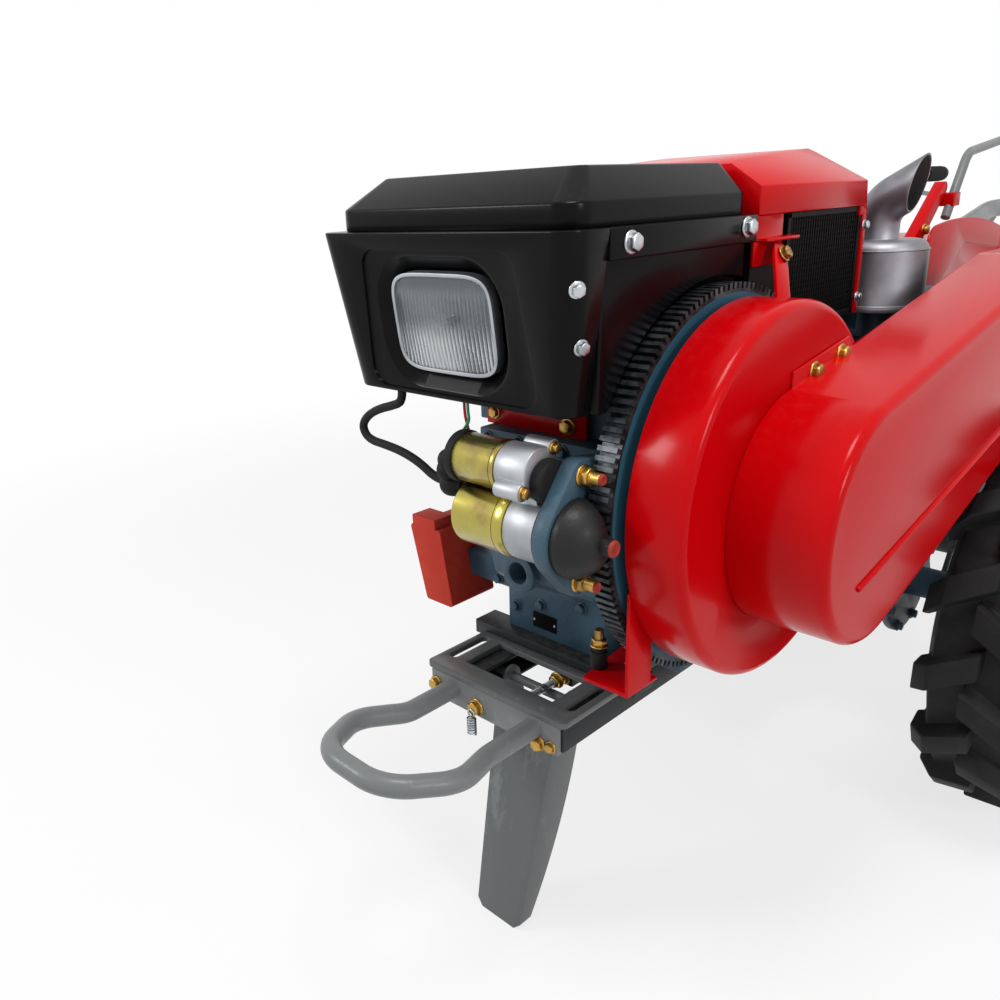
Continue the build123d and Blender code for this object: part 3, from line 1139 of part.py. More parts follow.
# Control levers: clutch rod in the left post's clamp, shift lever from the gearbox, steering levers under the grips
SHIFT_KNOB = (0, GEARBOX_HEEL[0] + 827.0, CLUTCH_Z + 173.0)
shift_rod = bar_along(
    [
        (0, GEARBOX_HEEL[0] + 57.0, GEARBOX_HEEL[1] + 70.0),
        (0, GEARBOX_HEEL[0] + 117.0, CLUTCH_Z - 17.0),
        (0, GEARBOX_HEEL[0] + 667.0, CLUTCH_Z + 83.0),
        SHIFT_KNOB,
    ],
    50.0,
    LEVER_ROD,
)
clutch_rod = bar_along(
    [(ROD_X, *ROD_FOOT), (ROD_X, *ROD_CORNER), (ROD_X, *ROD_RUN), ROD_END],
    40.0,
    LEVER_ROD,
)
steer_rod = bar_along(
    [
        (GRIP_X, GRIP_START - 60.0, BAR_HEIGHT - BAR_TUBE - 1.0),
        (GRIP_X, GRIP_START - 40.0, BAR_HEIGHT - 44.0),
        (GRIP_X, GRIP_START + GRIP_LENGTH - 20.0, BAR_HEIGHT - 56.0),
    ],
    12.0,
    LEVER_ROD - 1.5,
)
with BuildPart() as control_levers:
    add(shift_rod)
    add(clutch_rod)
    add(steer_rod)
    mirror(steer_rod, about=Plane.YZ)
    with Locations(SHIFT_KNOB, ROD_END):
        Sphere(2.5 * LEVER_ROD)
    add(gearbox.part, mode=Mode.SUBTRACT)
    add(handle_tubes.part, mode=Mode.SUBTRACT)

# Tiller gear case between the two halves of the rotor
CASE_FRONT = GEARBOX_HEEL[0] + GEARBOX_TOE + 10.0
ARM_Z = ROTOR_Z + HOOD_RADIUS + HOOD_SHEET + 30.0
with BuildPart() as tiller_gearcase:
    with BuildSketch(Plane.YZ):
        with Locations((CASE_FRONT + 70.0, GEARBOX_HEEL[1])):
            Circle(58.0)
        with Locations((ROTOR_Y, ROTOR_Z)):
            Circle(TINE_FLANGE + 4.0)
        with Locations((ROTOR_Y, ARM_Z)):
            Circle(40.0)
        make_hull()
    extrude(amount=CASE_HALF, both=True)
    with BuildSketch(Plane.YZ):
        with Locations((CASE_FRONT + 35.0, GEARBOX_HEEL[1])):
            Rectangle(70.0, 100.0)
    extrude(amount=CASE_HALF, both=True)
    with BuildSketch(Plane.YZ):
        with Locations((CASE_FRONT + 8.0, GEARBOX_HEEL[1])):
            Rectangle(16.0, 140.0)
    extrude(amount=70.0, both=True)
    with BuildSketch(Plane.YZ):
        with Locations((ROTOR_Y + 50.0, ARM_Z)):
            Rectangle(100.0, 50.0)
    extrude(amount=30.0, both=True)
    with BuildSketch(across(ROTOR_Y, ROTOR_Z, -CASE_HALF)):
        Circle(ROTOR_SHAFT + FIT_GAP)
    extrude(amount=2 * CASE_HALF, mode=Mode.SUBTRACT)

# Rotor: shaft, flanges and bent tines
with BuildPart() as tine:
    with BuildSketch(Plane.XY):
        Polygon(
            (TINE_FLANGE - 20.0, -TINE_WIDTH / 2),
            (TINE_REACH * 0.7, -TINE_WIDTH / 2),
            (TINE_REACH - 4.0, TINE_WIDTH * 0.6),
            (TINE_REACH - 16.0, TINE_WIDTH * 1.6),
            (TINE_REACH * 0.62, TINE_WIDTH / 2),
            (TINE_FLANGE - 20.0, TINE_WIDTH / 2),
            align=None,
        )
    extrude(amount=TINE_THICK)
    with BuildSketch(Plane.XY):
        Polygon(
            (TINE_REACH - TINE_WIDTH, 0),
            (TINE_REACH - 4.0, TINE_WIDTH * 0.6),
            (TINE_REACH - 16.0, TINE_WIDTH * 1.6),
            align=None,
        )
    extrude(amount=TINE_TOE)

FLANGE_PITCH = (ROTOR_HALF - CASE_HALF - TINE_TOE - 20.0) / 2
with BuildPart() as tiller_rotor:
    with BuildSketch(across(ROTOR_Y, ROTOR_Z, -ROTOR_HALF)):
        Circle(ROTOR_SHAFT)
    extrude(amount=2 * ROTOR_HALF)
    for side in (-1, 1):
        for row in range(3):
            x = side * (CASE_HALF + RUN_GAP + row * FLANGE_PITCH)
            with Locations(across(ROTOR_Y, ROTOR_Z, x)):
                Cylinder(TINE_FLANGE, TINE_THICK, align=(Align.CENTER, Align.CENTER, Align.MIN if side > 0 else Align.MAX))
            flip = Plane(
                origin=(x, ROTOR_Y, ROTOR_Z),
                x_dir=(0, cos(radians(30.0 * row)), sin(radians(30.0 * row))),
                z_dir=(side, 0, 0),
            )
            with Locations(flip):
                with PolarLocations(0, 4):
                    add(tine.part)

# Tiller hood: a rolled sheet with end plates, slotted round the gear case
with BuildPart() as tiller_hood:
    with BuildSketch(across(ROTOR_Y, ROTOR_Z, -TILLER_HOOD_HALF)):
        with BuildLine():
            CenterArc((0, 0), HOOD_RADIUS + HOOD_SHEET, 22.0, 108.0)
            CenterArc((0, 0), HOOD_RADIUS, 22.0, 108.0)
            Line(
                (HOOD_RADIUS * cos(radians(22.0)), HOOD_RADIUS * sin(radians(22.0))),
                ((HOOD_RADIUS + HOOD_SHEET) * cos(radians(22.0)), (HOOD_RADIUS + HOOD_SHEET) * sin(radians(22.0))),
            )
            Line(
                (HOOD_RADIUS * cos(radians(130.0)), HOOD_RADIUS * sin(radians(130.0))),
                ((HOOD_RADIUS + HOOD_SHEET) * cos(radians(130.0)), (HOOD_RADIUS + HOOD_SHEET) * sin(radians(130.0))),
            )
        make_face()
    extrude(amount=2 * TILLER_HOOD_HALF)
    with BuildSketch(Plane.XY.offset(ROTOR_Z)):
        with Locations((0, ROTOR_Y - 70.0)):
            Rectangle(2 * (CASE_HALF + FIT_GAP), 290.0)
    extrude(amount=2 * HOOD_RADIUS, mode=Mode.SUBTRACT)

# Tail wheel on a sliding strut behind the gear case
ARM_FRONT = ROTOR_Y + 100.0
TAIL_Z = TAIL_RADIUS + TAIL_LIFT
with BuildPart() as tail_wheel_arm:
    with BuildSketch(Plane.YZ):
        with Locations(((ARM_FRONT + TAIL_Y) / 2, ARM_Z)):
            Rectangle(TAIL_Y - ARM_FRONT, 44.0)
    extrude(amount=18.0, both=True)
    with BuildSketch(Plane.XY.offset(ARM_Z - 60.0)):
        with Locations((0, TAIL_Y)):
            Circle(28.0)
    extrude(amount=120.0)
    with BuildSketch(Plane.XY.offset(TAIL_Z + TAIL_RADIUS + RUN_GAP)):
        with Locations((0, TAIL_Y)):
            Circle(17.0)
    extrude(amount=ARM_Z + 170.0 - TAIL_Z - TAIL_RADIUS - RUN_GAP)
    with BuildSketch(Plane.XY.offset(TAIL_Z + TAIL_RADIUS + RUN_GAP)):
        with Locations((0, TAIL_Y)):
            Rectangle(TAIL_WIDTH + 32.0, 40.0)
    extrude(amount=8.0)
    with BuildSketch(Plane.YZ.offset(TAIL_WIDTH / 2 + 8.0)):
        with Locations((TAIL_Y, TAIL_Z)):
            Circle(18.0)
        with Locations((TAIL_Y, TAIL_Z + TAIL_RADIUS)):
            Rectangle(40.0, 12.0)
        make_hull()
    extrude(amount=8.0)
    mirror(about=Plane.YZ)
    with BuildSketch(across(TAIL_Y, TAIL_Z, -TAIL_WIDTH / 2 - 16.0)):
        Circle(10.0)
    extrude(amount=TAIL_WIDTH + 32.0)

with BuildPart() as tail_wheel:
    with BuildSketch(across(TAIL_Y, TAIL_Z, -TAIL_WIDTH / 2)):
        Circle(TAIL_RADIUS)
        Circle(10.0 + FIT_GAP, mode=Mode.SUBTRACT)
    extrude(amount=TAIL_WIDTH)
    chamfer(tail_wheel.edges().filter_by(GeomType.CIRCLE).sort_by(SortBy.RADIUS)[-2:], 12.0)

# Wheels: lugged tyre, drop-centre rim and hub with its axle end
WHEEL = radial(TRACK_HALF, AXLE_Y, AXLE_Z)
WHEEL_AXIS = shaft_axis(AXLE_Y, AXLE_Z)
CROWN_R = TYRE_RADIUS - LUG_HEIGHT
HALF_W = TYRE_WIDTH / 2
SIDEWALL_R = (RIM_RADIUS + CROWN_R) / 2
LUG_TOP = sqrt(TYRE_RADIUS**2 - LUG_SWEEP**2)
with BuildPart() as lug:
    with BuildSketch(Plane.YZ.offset(CROWN_R - LUG_HEIGHT)):
        Polygon(
            (-LUG_SWEEP, -LUG_LAP),
            (-LUG_ROOT, -LUG_LAP),
            (LUG_SWEEP, HALF_W),
            (LUG_TIP, HALF_W),
            align=None,
        )
    extrude(amount=LUG_TOP - CROWN_R + LUG_HEIGHT)
    with BuildSketch(Plane.XZ):
        Polygon(
            (CROWN_R - LUG_HEIGHT, -LUG_LAP),
            (LUG_TOP, -LUG_LAP),
            (LUG_TOP, HALF_W - LUG_BEVEL),
            (LUG_TOP - LUG_BEVEL, HALF_W),
            (CROWN_R - LUG_HEIGHT, HALF_W),
            align=None,
        )
    extrude(amount=2 * LUG_SWEEP, both=True, mode=Mode.INTERSECT)

with BuildPart() as tyre_left:
    with BuildSketch(WHEEL):
        Polygon(
            (-RIM_WIDTH / 2, RIM_RADIUS),
            (-HALF_W + 2.0, SIDEWALL_R),
            (-HALF_W * 0.7, CROWN_R),
            (HALF_W * 0.7, CROWN_R),
            (HALF_W - 2.0, SIDEWALL_R),
            (RIM_WIDTH / 2, RIM_RADIUS),
            align=None,
        )
    revolve(axis=WHEEL_AXIS)
    with Locations(across(AXLE_Y, AXLE_Z, TRACK_HALF)):
        with PolarLocations(0, LUGS):
            add(lug.part)
    with Locations(Plane(origin=(TRACK_HALF, AXLE_Y, AXLE_Z), x_dir=(0, 1, 0), z_dir=(-1, 0, 0))):
        with PolarLocations(0, LUGS, start_angle=180.0 / LUGS):
            add(mirror(lug.part, about=Plane.XZ, mode=Mode.PRIVATE))

with BuildPart() as tyre_right:
    mirror(tyre_left.part, about=Plane.YZ)

with BuildPart() as rim_left:
    with BuildSketch(WHEEL):
        Polygon(
            (-RIM_WIDTH / 2, RIM_RADIUS - 5.0),
            (-RIM_WIDTH / 2, RIM_RADIUS - FIT_GAP),
            (RIM_WIDTH / 2, RIM_RADIUS - FIT_GAP),
            (RIM_WIDTH / 2, RIM_RADIUS - 5.0),
            align=None,
        )
        Polygon(
            (-4.0, HUB_PCD / 2 - 20.0),
            (-4.0, RIM_RADIUS - 3.0),
            (4.0, RIM_RADIUS - 3.0),
            (4.0, HUB_PCD / 2 - 20.0),
            align=None,
        )
    revolve(axis=WHEEL_AXIS)
    with BuildSketch(across(AXLE_Y, AXLE_Z, TRACK_HALF - 4.0)):
        with PolarLocations(HUB_PCD / 2, HUB_STUDS):
            Circle(STUD_HOLE)
    extrude(amount=8.0, mode=Mode.SUBTRACT)

with BuildPart() as rim_right:
    mirror(rim_left.part, about=Plane.YZ)

HUB_FACE = TRACK_HALF - 4.0
with BuildPart() as hub_left:
    with BuildSketch(WHEEL):
        Polygon(
            (AXLE_FLANGE_X - AXLE_SEAT - TRACK_HALF, 0),
            (AXLE_FLANGE_X - AXLE_SEAT - TRACK_HALF, AXLE_SHAFT),
            (-80.0, AXLE_SHAFT),
            (-80.0, 40.0),
            (-16.0, 40.0),
            (-16.0, HUB_PCD / 2 + 18.0),
            (-4.0, HUB_PCD / 2 + 18.0),
            (-4.0, HUB_PCD / 2 - 20.0 - FIT_GAP),
            (14.0, HUB_PCD / 2 - 20.0 - FIT_GAP),
            (14.0, 0),
            align=None,
        )
    revolve(axis=WHEEL_AXIS)
    with BuildSketch(across(AXLE_Y, AXLE_Z, TRACK_HALF - 16.0)):
        with PolarLocations(HUB_PCD / 2, HUB_STUDS):
            Circle(STUD_HOLE)
    extrude(amount=12.0, mode=Mode.SUBTRACT)

with BuildPart() as hub_right:
    mirror(hub_left.part, about=Plane.YZ)

# Cables: the starter cable curls up to the lamp housing, two thin leads drop from it to the solenoid
cable_run = cord_along(
    [
        (BOOT_END, CABLE_Y, MOTOR_BOOT[1]),
        (BOOT_END - 20.0, CABLE_Y, MOTOR_BOOT[1]),
        (BOOT_END - 46.0, CABLE_Y, MOTOR_BOOT[1] + 14.0),
        (BOOT_END - 76.0, CABLE_Y, MOTOR_BOOT[1] + 22.0),
        (BOOT_END - 106.0, CABLE_Y, MOTOR_BOOT[1] + 25.0),
        (BOOT_END - 126.0, CABLE_Y, MOTOR_BOOT[1] + 26.0),
        (BOOT_END - 139.0, CABLE_Y, MOTOR_BOOT[1] + 31.0),
        (BOOT_END - 144.0, CABLE_Y, MOTOR_BOOT[1] + 43.0),
        (BOOT_END - 132.0, CABLE_Y, MOTOR_BOOT[1] + 56.0),
        (BOOT_END - 112.0, CABLE_Y, MOTOR_BOOT[1] + 66.0),
        (BOOT_END - 88.0, CABLE_Y, MOTOR_BOOT[1] + 73.0),
        (BOOT_END - 69.0, CABLE_Y, LAMP_FLOOR - 13.0),
        (BOOT_END - 69.0, CABLE_Y, LAMP_FLOOR),
    ],
    CABLE_RADIUS,
)
green_run = cord_along(
    [
        (14.0, GREEN_Y, LAMP_FLOOR),
        (14.0, GREEN_Y, LAMP_FLOOR - 9.0),
        (16.0, GREEN_Y, LAMP_FLOOR - 18.0),
        (9.0, GREEN_Y, LAMP_FLOOR - 27.0),
        (-2.0, GREEN_Y, LAMP_FLOOR - 40.0),
        (-8.0, GREEN_Y, SOLENOID_BOOT[1]),
    ],
    LEAD_RADIUS,
)
red_run = cord_along(
    [
        (4.0, RED_Y, LAMP_FLOOR),
        (4.0, RED_Y, LAMP_FLOOR - 12.0),
        (7.0, RED_Y, LAMP_FLOOR - 24.0),
        (12.0, RED_Y, SOLENOID_Z + SOLENOID_RADIUS * 0.6),
    ],
    LEAD_RADIUS,
)
with BuildPart() as starter_cable:
    add(cable_run)

with BuildPart() as lead_green:
    add(green_run)
    add(terminal_boots.part, mode=Mode.SUBTRACT)

with BuildPart() as lead_red:
    add(red_run)
    add(starter_solenoid.part, mode=Mode.SUBTRACT)

with BuildPart() as guard_fixings:
    add(guard_bracket.part)
    add(guard_strap.part)

NODES = {
    "frame_rails": frame_rails,
    "engine_bearers": engine_bearers,
    "front_plate": front_plate,
    "bumper_hoop": bumper_hoop,
    "front_stand": front_stand,
    "engine_block": engine_block,
    "cylinder": cylinder,
    "cylinder_head": cylinder_head,
    "starter_motor": starter_motor,
    "starter_drive_end": starter_drive_end,
    "starter_solenoid": starter_solenoid,
    "terminal_boots": terminal_boots,
    "starter_mount_plate": starter_mount_plate,
    "starter_dome": starter_dome,
    "flywheel": flywheel,
    "drive_pulley": drive_pulley,
    "flywheel_guard": flywheel_guard,
    "belt_guard": belt_guard,
    "drive_belts": drive_belts,
    "clutch_pulley": clutch_pulley,
    "guard_bracket": guard_fixings,
    "tank_bracket": tank_bracket,
    "fuel_tank": fuel_tank,
    "tank_crown": tank_crown,
    "lamp_housing": lamp_housing,
    "headlamp": headlamp,
    "radiator_core": radiator_core,
    "radiator_hood": radiator_hood,
    "radiator_mesh": radiator_mesh,
    "muffler": muffler,
    "air_cleaner": air_cleaner,
    "tool_box": tool_box,
    "gearbox": gearbox,
    "gearbox_shroud": gearbox_shroud,
    "handle_posts": handle_posts,
    "handle_tubes": handle_tubes,
    "handle_grips": handle_grips,
    "control_levers": control_levers,
    "tiller_gearcase": tiller_gearcase,
    "tiller_hood": tiller_hood,
    "tiller_rotor": tiller_rotor,
    "tail_wheel_arm": tail_wheel_arm,
    "tail_wheel": tail_wheel,
    "tyre_left": tyre_left,
    "tyre_right": tyre_right,
    "rim_left": rim_left,
    "rim_right": rim_right,
    "hub_left": hub_left,
    "hub_right": hub_right,
    "starter_cable": starter_cable,
    "lead_green": lead_green,
    "lead_red": lead_red,
}

os.makedirs("parts", exist_ok=True)
for name, builder in NODES.items():
    builder.part.label = name
    export_step(builder.part, f"parts/{name}.step")
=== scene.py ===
"""Dresses a two-wheeled walking tractor: finishes, fasteners, leads, floor, light and camera."""

from __future__ import annotations

import json
import logging
import math
from dataclasses import dataclass, field
from enum import Enum
from typing import Any, Callable, Iterable, Sequence, Union

import bpy
from mathutils import Matrix, Vector

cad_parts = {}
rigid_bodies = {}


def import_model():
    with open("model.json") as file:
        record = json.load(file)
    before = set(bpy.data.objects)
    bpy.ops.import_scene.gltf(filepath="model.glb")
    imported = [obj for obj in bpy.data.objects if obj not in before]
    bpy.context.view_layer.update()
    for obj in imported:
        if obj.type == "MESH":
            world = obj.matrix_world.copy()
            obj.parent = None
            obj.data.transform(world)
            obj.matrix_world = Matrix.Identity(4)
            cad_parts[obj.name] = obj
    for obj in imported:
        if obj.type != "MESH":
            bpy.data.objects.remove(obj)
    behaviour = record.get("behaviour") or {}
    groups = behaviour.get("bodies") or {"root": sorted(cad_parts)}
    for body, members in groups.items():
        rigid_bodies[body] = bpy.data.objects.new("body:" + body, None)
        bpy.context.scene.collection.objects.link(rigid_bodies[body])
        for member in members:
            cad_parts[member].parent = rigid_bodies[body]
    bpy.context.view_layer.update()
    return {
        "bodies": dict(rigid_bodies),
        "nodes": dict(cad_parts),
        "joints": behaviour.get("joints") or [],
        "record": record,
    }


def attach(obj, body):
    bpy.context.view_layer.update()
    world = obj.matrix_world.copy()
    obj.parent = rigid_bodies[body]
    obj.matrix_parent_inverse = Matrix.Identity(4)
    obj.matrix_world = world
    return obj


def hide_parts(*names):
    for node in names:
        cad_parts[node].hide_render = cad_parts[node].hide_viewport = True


LOG = logging.getLogger("tractor")
Colour = tuple[float, float, float]
Point = tuple[float, float, float]
Piece = bpy.types.Object
Paint = bpy.types.Material


def rgb(red: int, green: int, blue: int) -> Colour:
    """Turns a colour as the eye reads it into the linear values of a shader.

    Args:
        red: Red, from 0 to 255.
        green: Green, from 0 to 255.
        blue: Blue, from 0 to 255.

    Returns:
        The linear colour.
    """

    def linear(channel: int) -> float:
        """One channel, made linear."""
        share = channel / 255
        return share / 12.92 if share <= 0.04045 else ((share + 0.055) / 1.055) ** 2.4

    return linear(red), linear(green), linear(blue)


def shade(colour: Colour, factor: float, lift: float = 0.0) -> Colour:
    """A darker or paler colour: each channel times a factor, plus a lift."""
    return tuple(min(1.0, channel * factor + lift) for channel in colour)


class Signal:
    """A shader socket that takes part in arithmetic."""

    def __init__(self, tree: "ShaderTree", socket: bpy.types.NodeSocket) -> None:
        """Wraps a socket of a tree."""
        self.tree = tree
        self.socket = socket

    def _maths(self, operation: str, left: "Value", right: "Value") -> "Signal":
        """Adds one Math node."""
        return self.tree.node("Math", {"operation": operation}, {0: left, 1: right})

    def __add__(self, other: "Value") -> "Signal":
        """Sum."""
        return self._maths("ADD", self, other)

    __radd__ = __add__

    def __sub__(self, other: "Value") -> "Signal":
        """Difference."""
        return self._maths("SUBTRACT", self, other)

    def __rsub__(self, other: "Value") -> "Signal":
        """Difference from a number."""
        return self._maths("SUBTRACT", other, self)

    def __mul__(self, other: "Value") -> "Signal":
        """Product."""
        return self._maths("MULTIPLY", self, other)

    def __pow__(self, other: "Value") -> "Signal":
        """Power."""
        return self._maths("POWER", self, other)

    def ramp(self, low: float, high: float) -> "Signal":
        """A smooth step from 0 at low to 1 at high."""
        settings = {"interpolation_type": "SMOOTHSTEP"}
        return self.tree.node("MapRange", settings, {0: self, 1: low, 2: high})


Value = Union[Signal, float, tuple]


class ShaderTree:
    """The node tree of one material."""

    def __init__(self, name: str, world: bpy.types.World | None = None) -> None:
        """Empties the nodes of a new material, or of a world.

        Args:
            name: The material's name.
            world: The world to use in place of a material.
        """
        self.material = world or bpy.data.materials.new(name)
        self.material.use_nodes = True
        self.nodes = self.material.node_tree.nodes
        self.links = self.material.node_tree.links
        self.nodes.clear()

    def node(
        self,
        kind: str,
        settings: dict[str, Any] | None = None,
        inputs: dict[int | str, Value] | None = None,
        output: int | str = 0,
    ) -> Signal:
        """Adds a node of any type.

        Args:
            kind: The node's type, without the ShaderNode in front.
            settings: Properties set before its sockets.
            inputs: Values or links of its sockets, by name or number.
            output: The output to hand back.

        Returns:
            The chosen output.
        """
        node = self.nodes.new(f"ShaderNode{kind}")
        for key, value in (settings or {}).items():
            setattr(node, key, value)
        for key, value in (inputs or {}).items():
            socket = node.inputs[key]
            if isinstance(value, Signal):
                self.links.new(value.socket, socket)
            elif isinstance(value, tuple) and socket.type == "RGBA":
                socket.default_value = (*value, 1.0)
            else:
                socket.default_value = value
        return Signal(self, node.outputs[output] if node.outputs else None)

    def place(self) -> Signal:
        """The point on the piece, in metres."""
        return self.node("TexCoord", output="Object")

    def noise(self, scale: float | tuple, detail: float = 3.0, rough: float = 0.5) -> Signal:
        """Cloudy noise.

        Args:
            scale: Features to the metre, or one such number for each axis.
            detail: Octaves.
            rough: Weight of the fine octaves.

        Returns:
            Values from 0 to 1.
        """
        place = self.place()
        if isinstance(scale, tuple):
            place = self.node("Mapping", None, {"Vector": place, "Scale": scale})
            scale = 1.0
        inputs = {"Vector": place, "Scale": scale, "Detail": detail, "Roughness": rough}
        return self.node("TexNoise", None, inputs)

    def tint(self, factor: Value, first: Value, second: Value) -> Signal:
        """Mixes two colours by a factor."""
        return self.node("Mix", {"data_type": "RGBA"}, {0: factor, 6: first, 7: second}, 2)

    def bump(self, height: Signal, strength: float, distance: float) -> Signal:
        """A normal from a height field."""
        inputs = {"Strength": strength, "Distance": distance, "Height": height}
        return self.node("Bump", None, inputs)

    def apart(self, vector: Signal, axis: str) -> Signal:
        """One axis of a vector."""
        return self.node("SeparateXYZ", None, {0: vector}, axis)

    def seen(self) -> Signal:
        """1 where the camera, a reflection or a glass looks, else 0."""
        kinds = ("Camera", "Glossy", "Transmission")
        camera, glossy, through = (self.node("LightPath", output=f"Is {kind} Ray") for kind in kinds)
        return self.node("Math", {"operation": "MINIMUM"}, {0: camera + glossy + through, 1: 1.0})

    def facing_up(self) -> Signal:
        """How far the surface faces the sky, from -1 to 1."""
        normal = self.node("NewGeometry", output="Normal")
        return self.apart(normal, "Z")

    def finish(self, **sockets: Value) -> Paint:
        """Closes the tree with one Principled shader.

        Args:
            **sockets: Values or links, with underscores for the spaces of socket names.

        Returns:
            The material.
        """
        inputs = {key.replace("_", " "): value for key, value in sockets.items()}
        shader = self.node("BsdfPrincipled", None, inputs)
        self.node("OutputMaterial", None, {"Surface": shader})
        return self.material


@dataclass(frozen=True)
class Enamel:
    """Sprayed paint on sheet steel, with orange peel, dust and scuffs."""

    name: str
    colour: Colour
    roughness: float = 0.2
    coat: float = 0.5
    specular: float = 0.4
    dust: float = 0.04
    peel: float = 0.1
    scuffs: float = 0.0

    def material(self) -> Paint:
        """Builds the paint."""
        tree = ShaderTree(self.name)
        clouds = tree.noise(5.0, 4.0)
        specks = tree.noise(90.0, 5.0, 0.7)
        lying = tree.facing_up().ramp(0.2, 1.0) * specks.ramp(0.45, 0.75) * self.dust
        rubbed = tree.noise((30.0, 30.0, 9.0), 6.0, 0.75).ramp(0.56, 0.7) * self.scuffs
        deep = shade(self.colour, 0.82)
        colour = tree.tint(clouds, deep, self.colour)
        colour = tree.tint(rubbed, colour, shade(self.colour, 2.0, 0.02))
        colour = tree.tint(lying, colour, rgb(150, 142, 132))
        return tree.finish(
            Base_Color=colour,
            Roughness=self.roughness + specks * 0.06 + lying * 0.6 + rubbed * 0.15,
            Specular_IOR_Level=self.specular,
            Coat_Weight=self.coat,
            Coat_Roughness=0.05,
            Normal=tree.bump(tree.noise(240.0, 1.0), self.peel, 0.0004),
        )


@dataclass(frozen=True)
class Casting:
    """Painted iron with the grain of the mould and pale, rubbed high spots."""

    name: str
    colour: Colour
    roughness: float = 0.36
    grain: float = 0.5

    def material(self) -> Paint:
        """Builds the painted casting."""
        tree = ShaderTree(self.name)
        sand = tree.noise(420.0, 4.0, 0.65)
        clouds = tree.noise(16.0, 5.0)
        dark = shade(self.colour, 0.5)
        pale = shade(self.colour, 1.7, 0.01)
        colour = tree.tint(clouds.ramp(0.3, 0.7), dark, self.colour)
        colour = tree.tint(sand.ramp(0.55, 0.75) * 0.35, colour, pale)
        return tree.finish(
            Base_Color=colour,
            Roughness=self.roughness + sand * 0.2,
            Specular_IOR_Level=0.3,
            Coat_Weight=0.05,
            Coat_Roughness=0.2,
            Normal=tree.bump(sand, self.grain, 0.0009),
        )


@dataclass(frozen=True)
class Metal:
    """Bare or plated metal with fine streaks."""

    name: str
    colour: Colour
    tarnish: Colour
    roughness: float = 0.3
    streak: tuple = (40.0, 40.0, 40.0)
    grain: float = 0.08
    stain: float = 18.0

    def material(self) -> Paint:
        """Builds the metal."""
        tree = ShaderTree(self.name)
        streaks = tree.noise(self.streak, 4.0, 0.6)
        stains = tree.noise(self.stain, 4.0)
        colour = tree.tint(stains.ramp(0.38, 0.68), self.colour, self.tarnish)
        return tree.finish(
            Base_Color=colour,
            Metallic=1.0,
            Roughness=self.roughness + streaks * 0.16,
            Normal=tree.bump(streaks, self.grain, 0.0005),
        )


@dataclass(frozen=True)
class Rubber:
    """Moulded rubber or plastic with dry dust in its grain."""

    name: str
    colour: Colour
    dust: Colour
    dusting: float = 0.3
    roughness: float = 0.55

    def material(self) -> Paint:
        """Builds the rubber."""
        tree = ShaderTree(self.name)
        clouds = tree.noise(22.0, 5.0, 0.65)
        grain = tree.noise(700.0, 3.0)
        colour = tree.tint(clouds.ramp(0.42, 0.8) * self.dusting, self.colour, self.dust)
        return tree.finish(
            Base_Color=colour,
            Roughness=self.roughness + clouds * 0.22,
            Specular_IOR_Level=0.22,
            Normal=tree.bump(grain * 0.5 + clouds, 0.3, 0.001),
        )


@dataclass(frozen=True)
class RingGear:
    """Painted wheel inside a ring of oiled steel teeth."""

    name: str
    colour: Colour
    steel: Colour
    seam: float = 0.2035
    axis: tuple[float, float] = (-0.785, 0.589)

    def material(self) -> Paint:
        """Builds the wheel's paint and the steel of its teeth."""
        tree = ShaderTree(self.name)
        sand = tree.noise(320.0, 4.0, 0.65)
        place = tree.place()
        out = tree.apart(place, "Y") - self.axis[0]
        high = tree.apart(place, "Z") - self.axis[1]
        teeth = ((out * out + high * high) ** 0.5).ramp(self.seam, self.seam + 0.0015)
        paint = tree.tint(sand, shade(self.colour, 0.7), self.colour)
        film = tree.noise(70.0, 4.0).ramp(0.35, 0.65)
        oil = tree.tint(film, shade(self.steel, 0.3), self.steel)
        return tree.finish(
            Base_Color=tree.tint(teeth, paint, oil),
            Metallic=teeth * 0.85,
            Roughness=0.34 + sand * 0.12,
            Specular_IOR_Level=0.3,
            Normal=tree.bump(sand, 0.2, 0.0006),
        )


@dataclass(frozen=True)
class ShadedBorePipe:
    """Silver heat paint, with painted shade inside the bore of a sloping outlet."""

    name: str
    colour: Colour
    tarnish: Colour
    bore_shade: Colour
    mouth: Point = (0.187, -0.343, 0.8891)
    slope: float = math.radians(30)
    bore: float = 0.0256
    depth: float = 0.0282

    def material(self) -> Paint:
        """Builds the silver and the painted shade in the bore."""
        tree = ShaderTree(self.name)
        streaks = tree.noise((30.0, 30.0, 6.0), 4.0, 0.6)
        place = tree.place()
        x, y, z = (tree.apart(place, axis) - centre for axis, centre in zip("XYZ", self.mouth))
        along = x * math.cos(self.slope) + z * math.sin(self.slope)
        rise = z * math.cos(self.slope) - x * math.sin(self.slope)
        outside = ((rise * rise + y * y) ** 0.5).ramp(self.bore, self.bore + 0.0006)
        # Painted shade: the last stretch of the outlet's bore is painted dark, dull and not metallic.
        inside = (1.0 - outside) * along.ramp(-self.depth - 0.0006, -self.depth)
        silver = tree.tint(tree.noise(18.0, 4.0).ramp(0.38, 0.68), self.colour, self.tarnish)
        return tree.finish(
            Base_Color=tree.tint(inside, silver, self.bore_shade),
            Metallic=1.0 - inside,
            Roughness=0.4 + streaks * 0.16 + inside * 0.3,
            Normal=tree.bump(streaks, 0.08, 0.0005),
        )


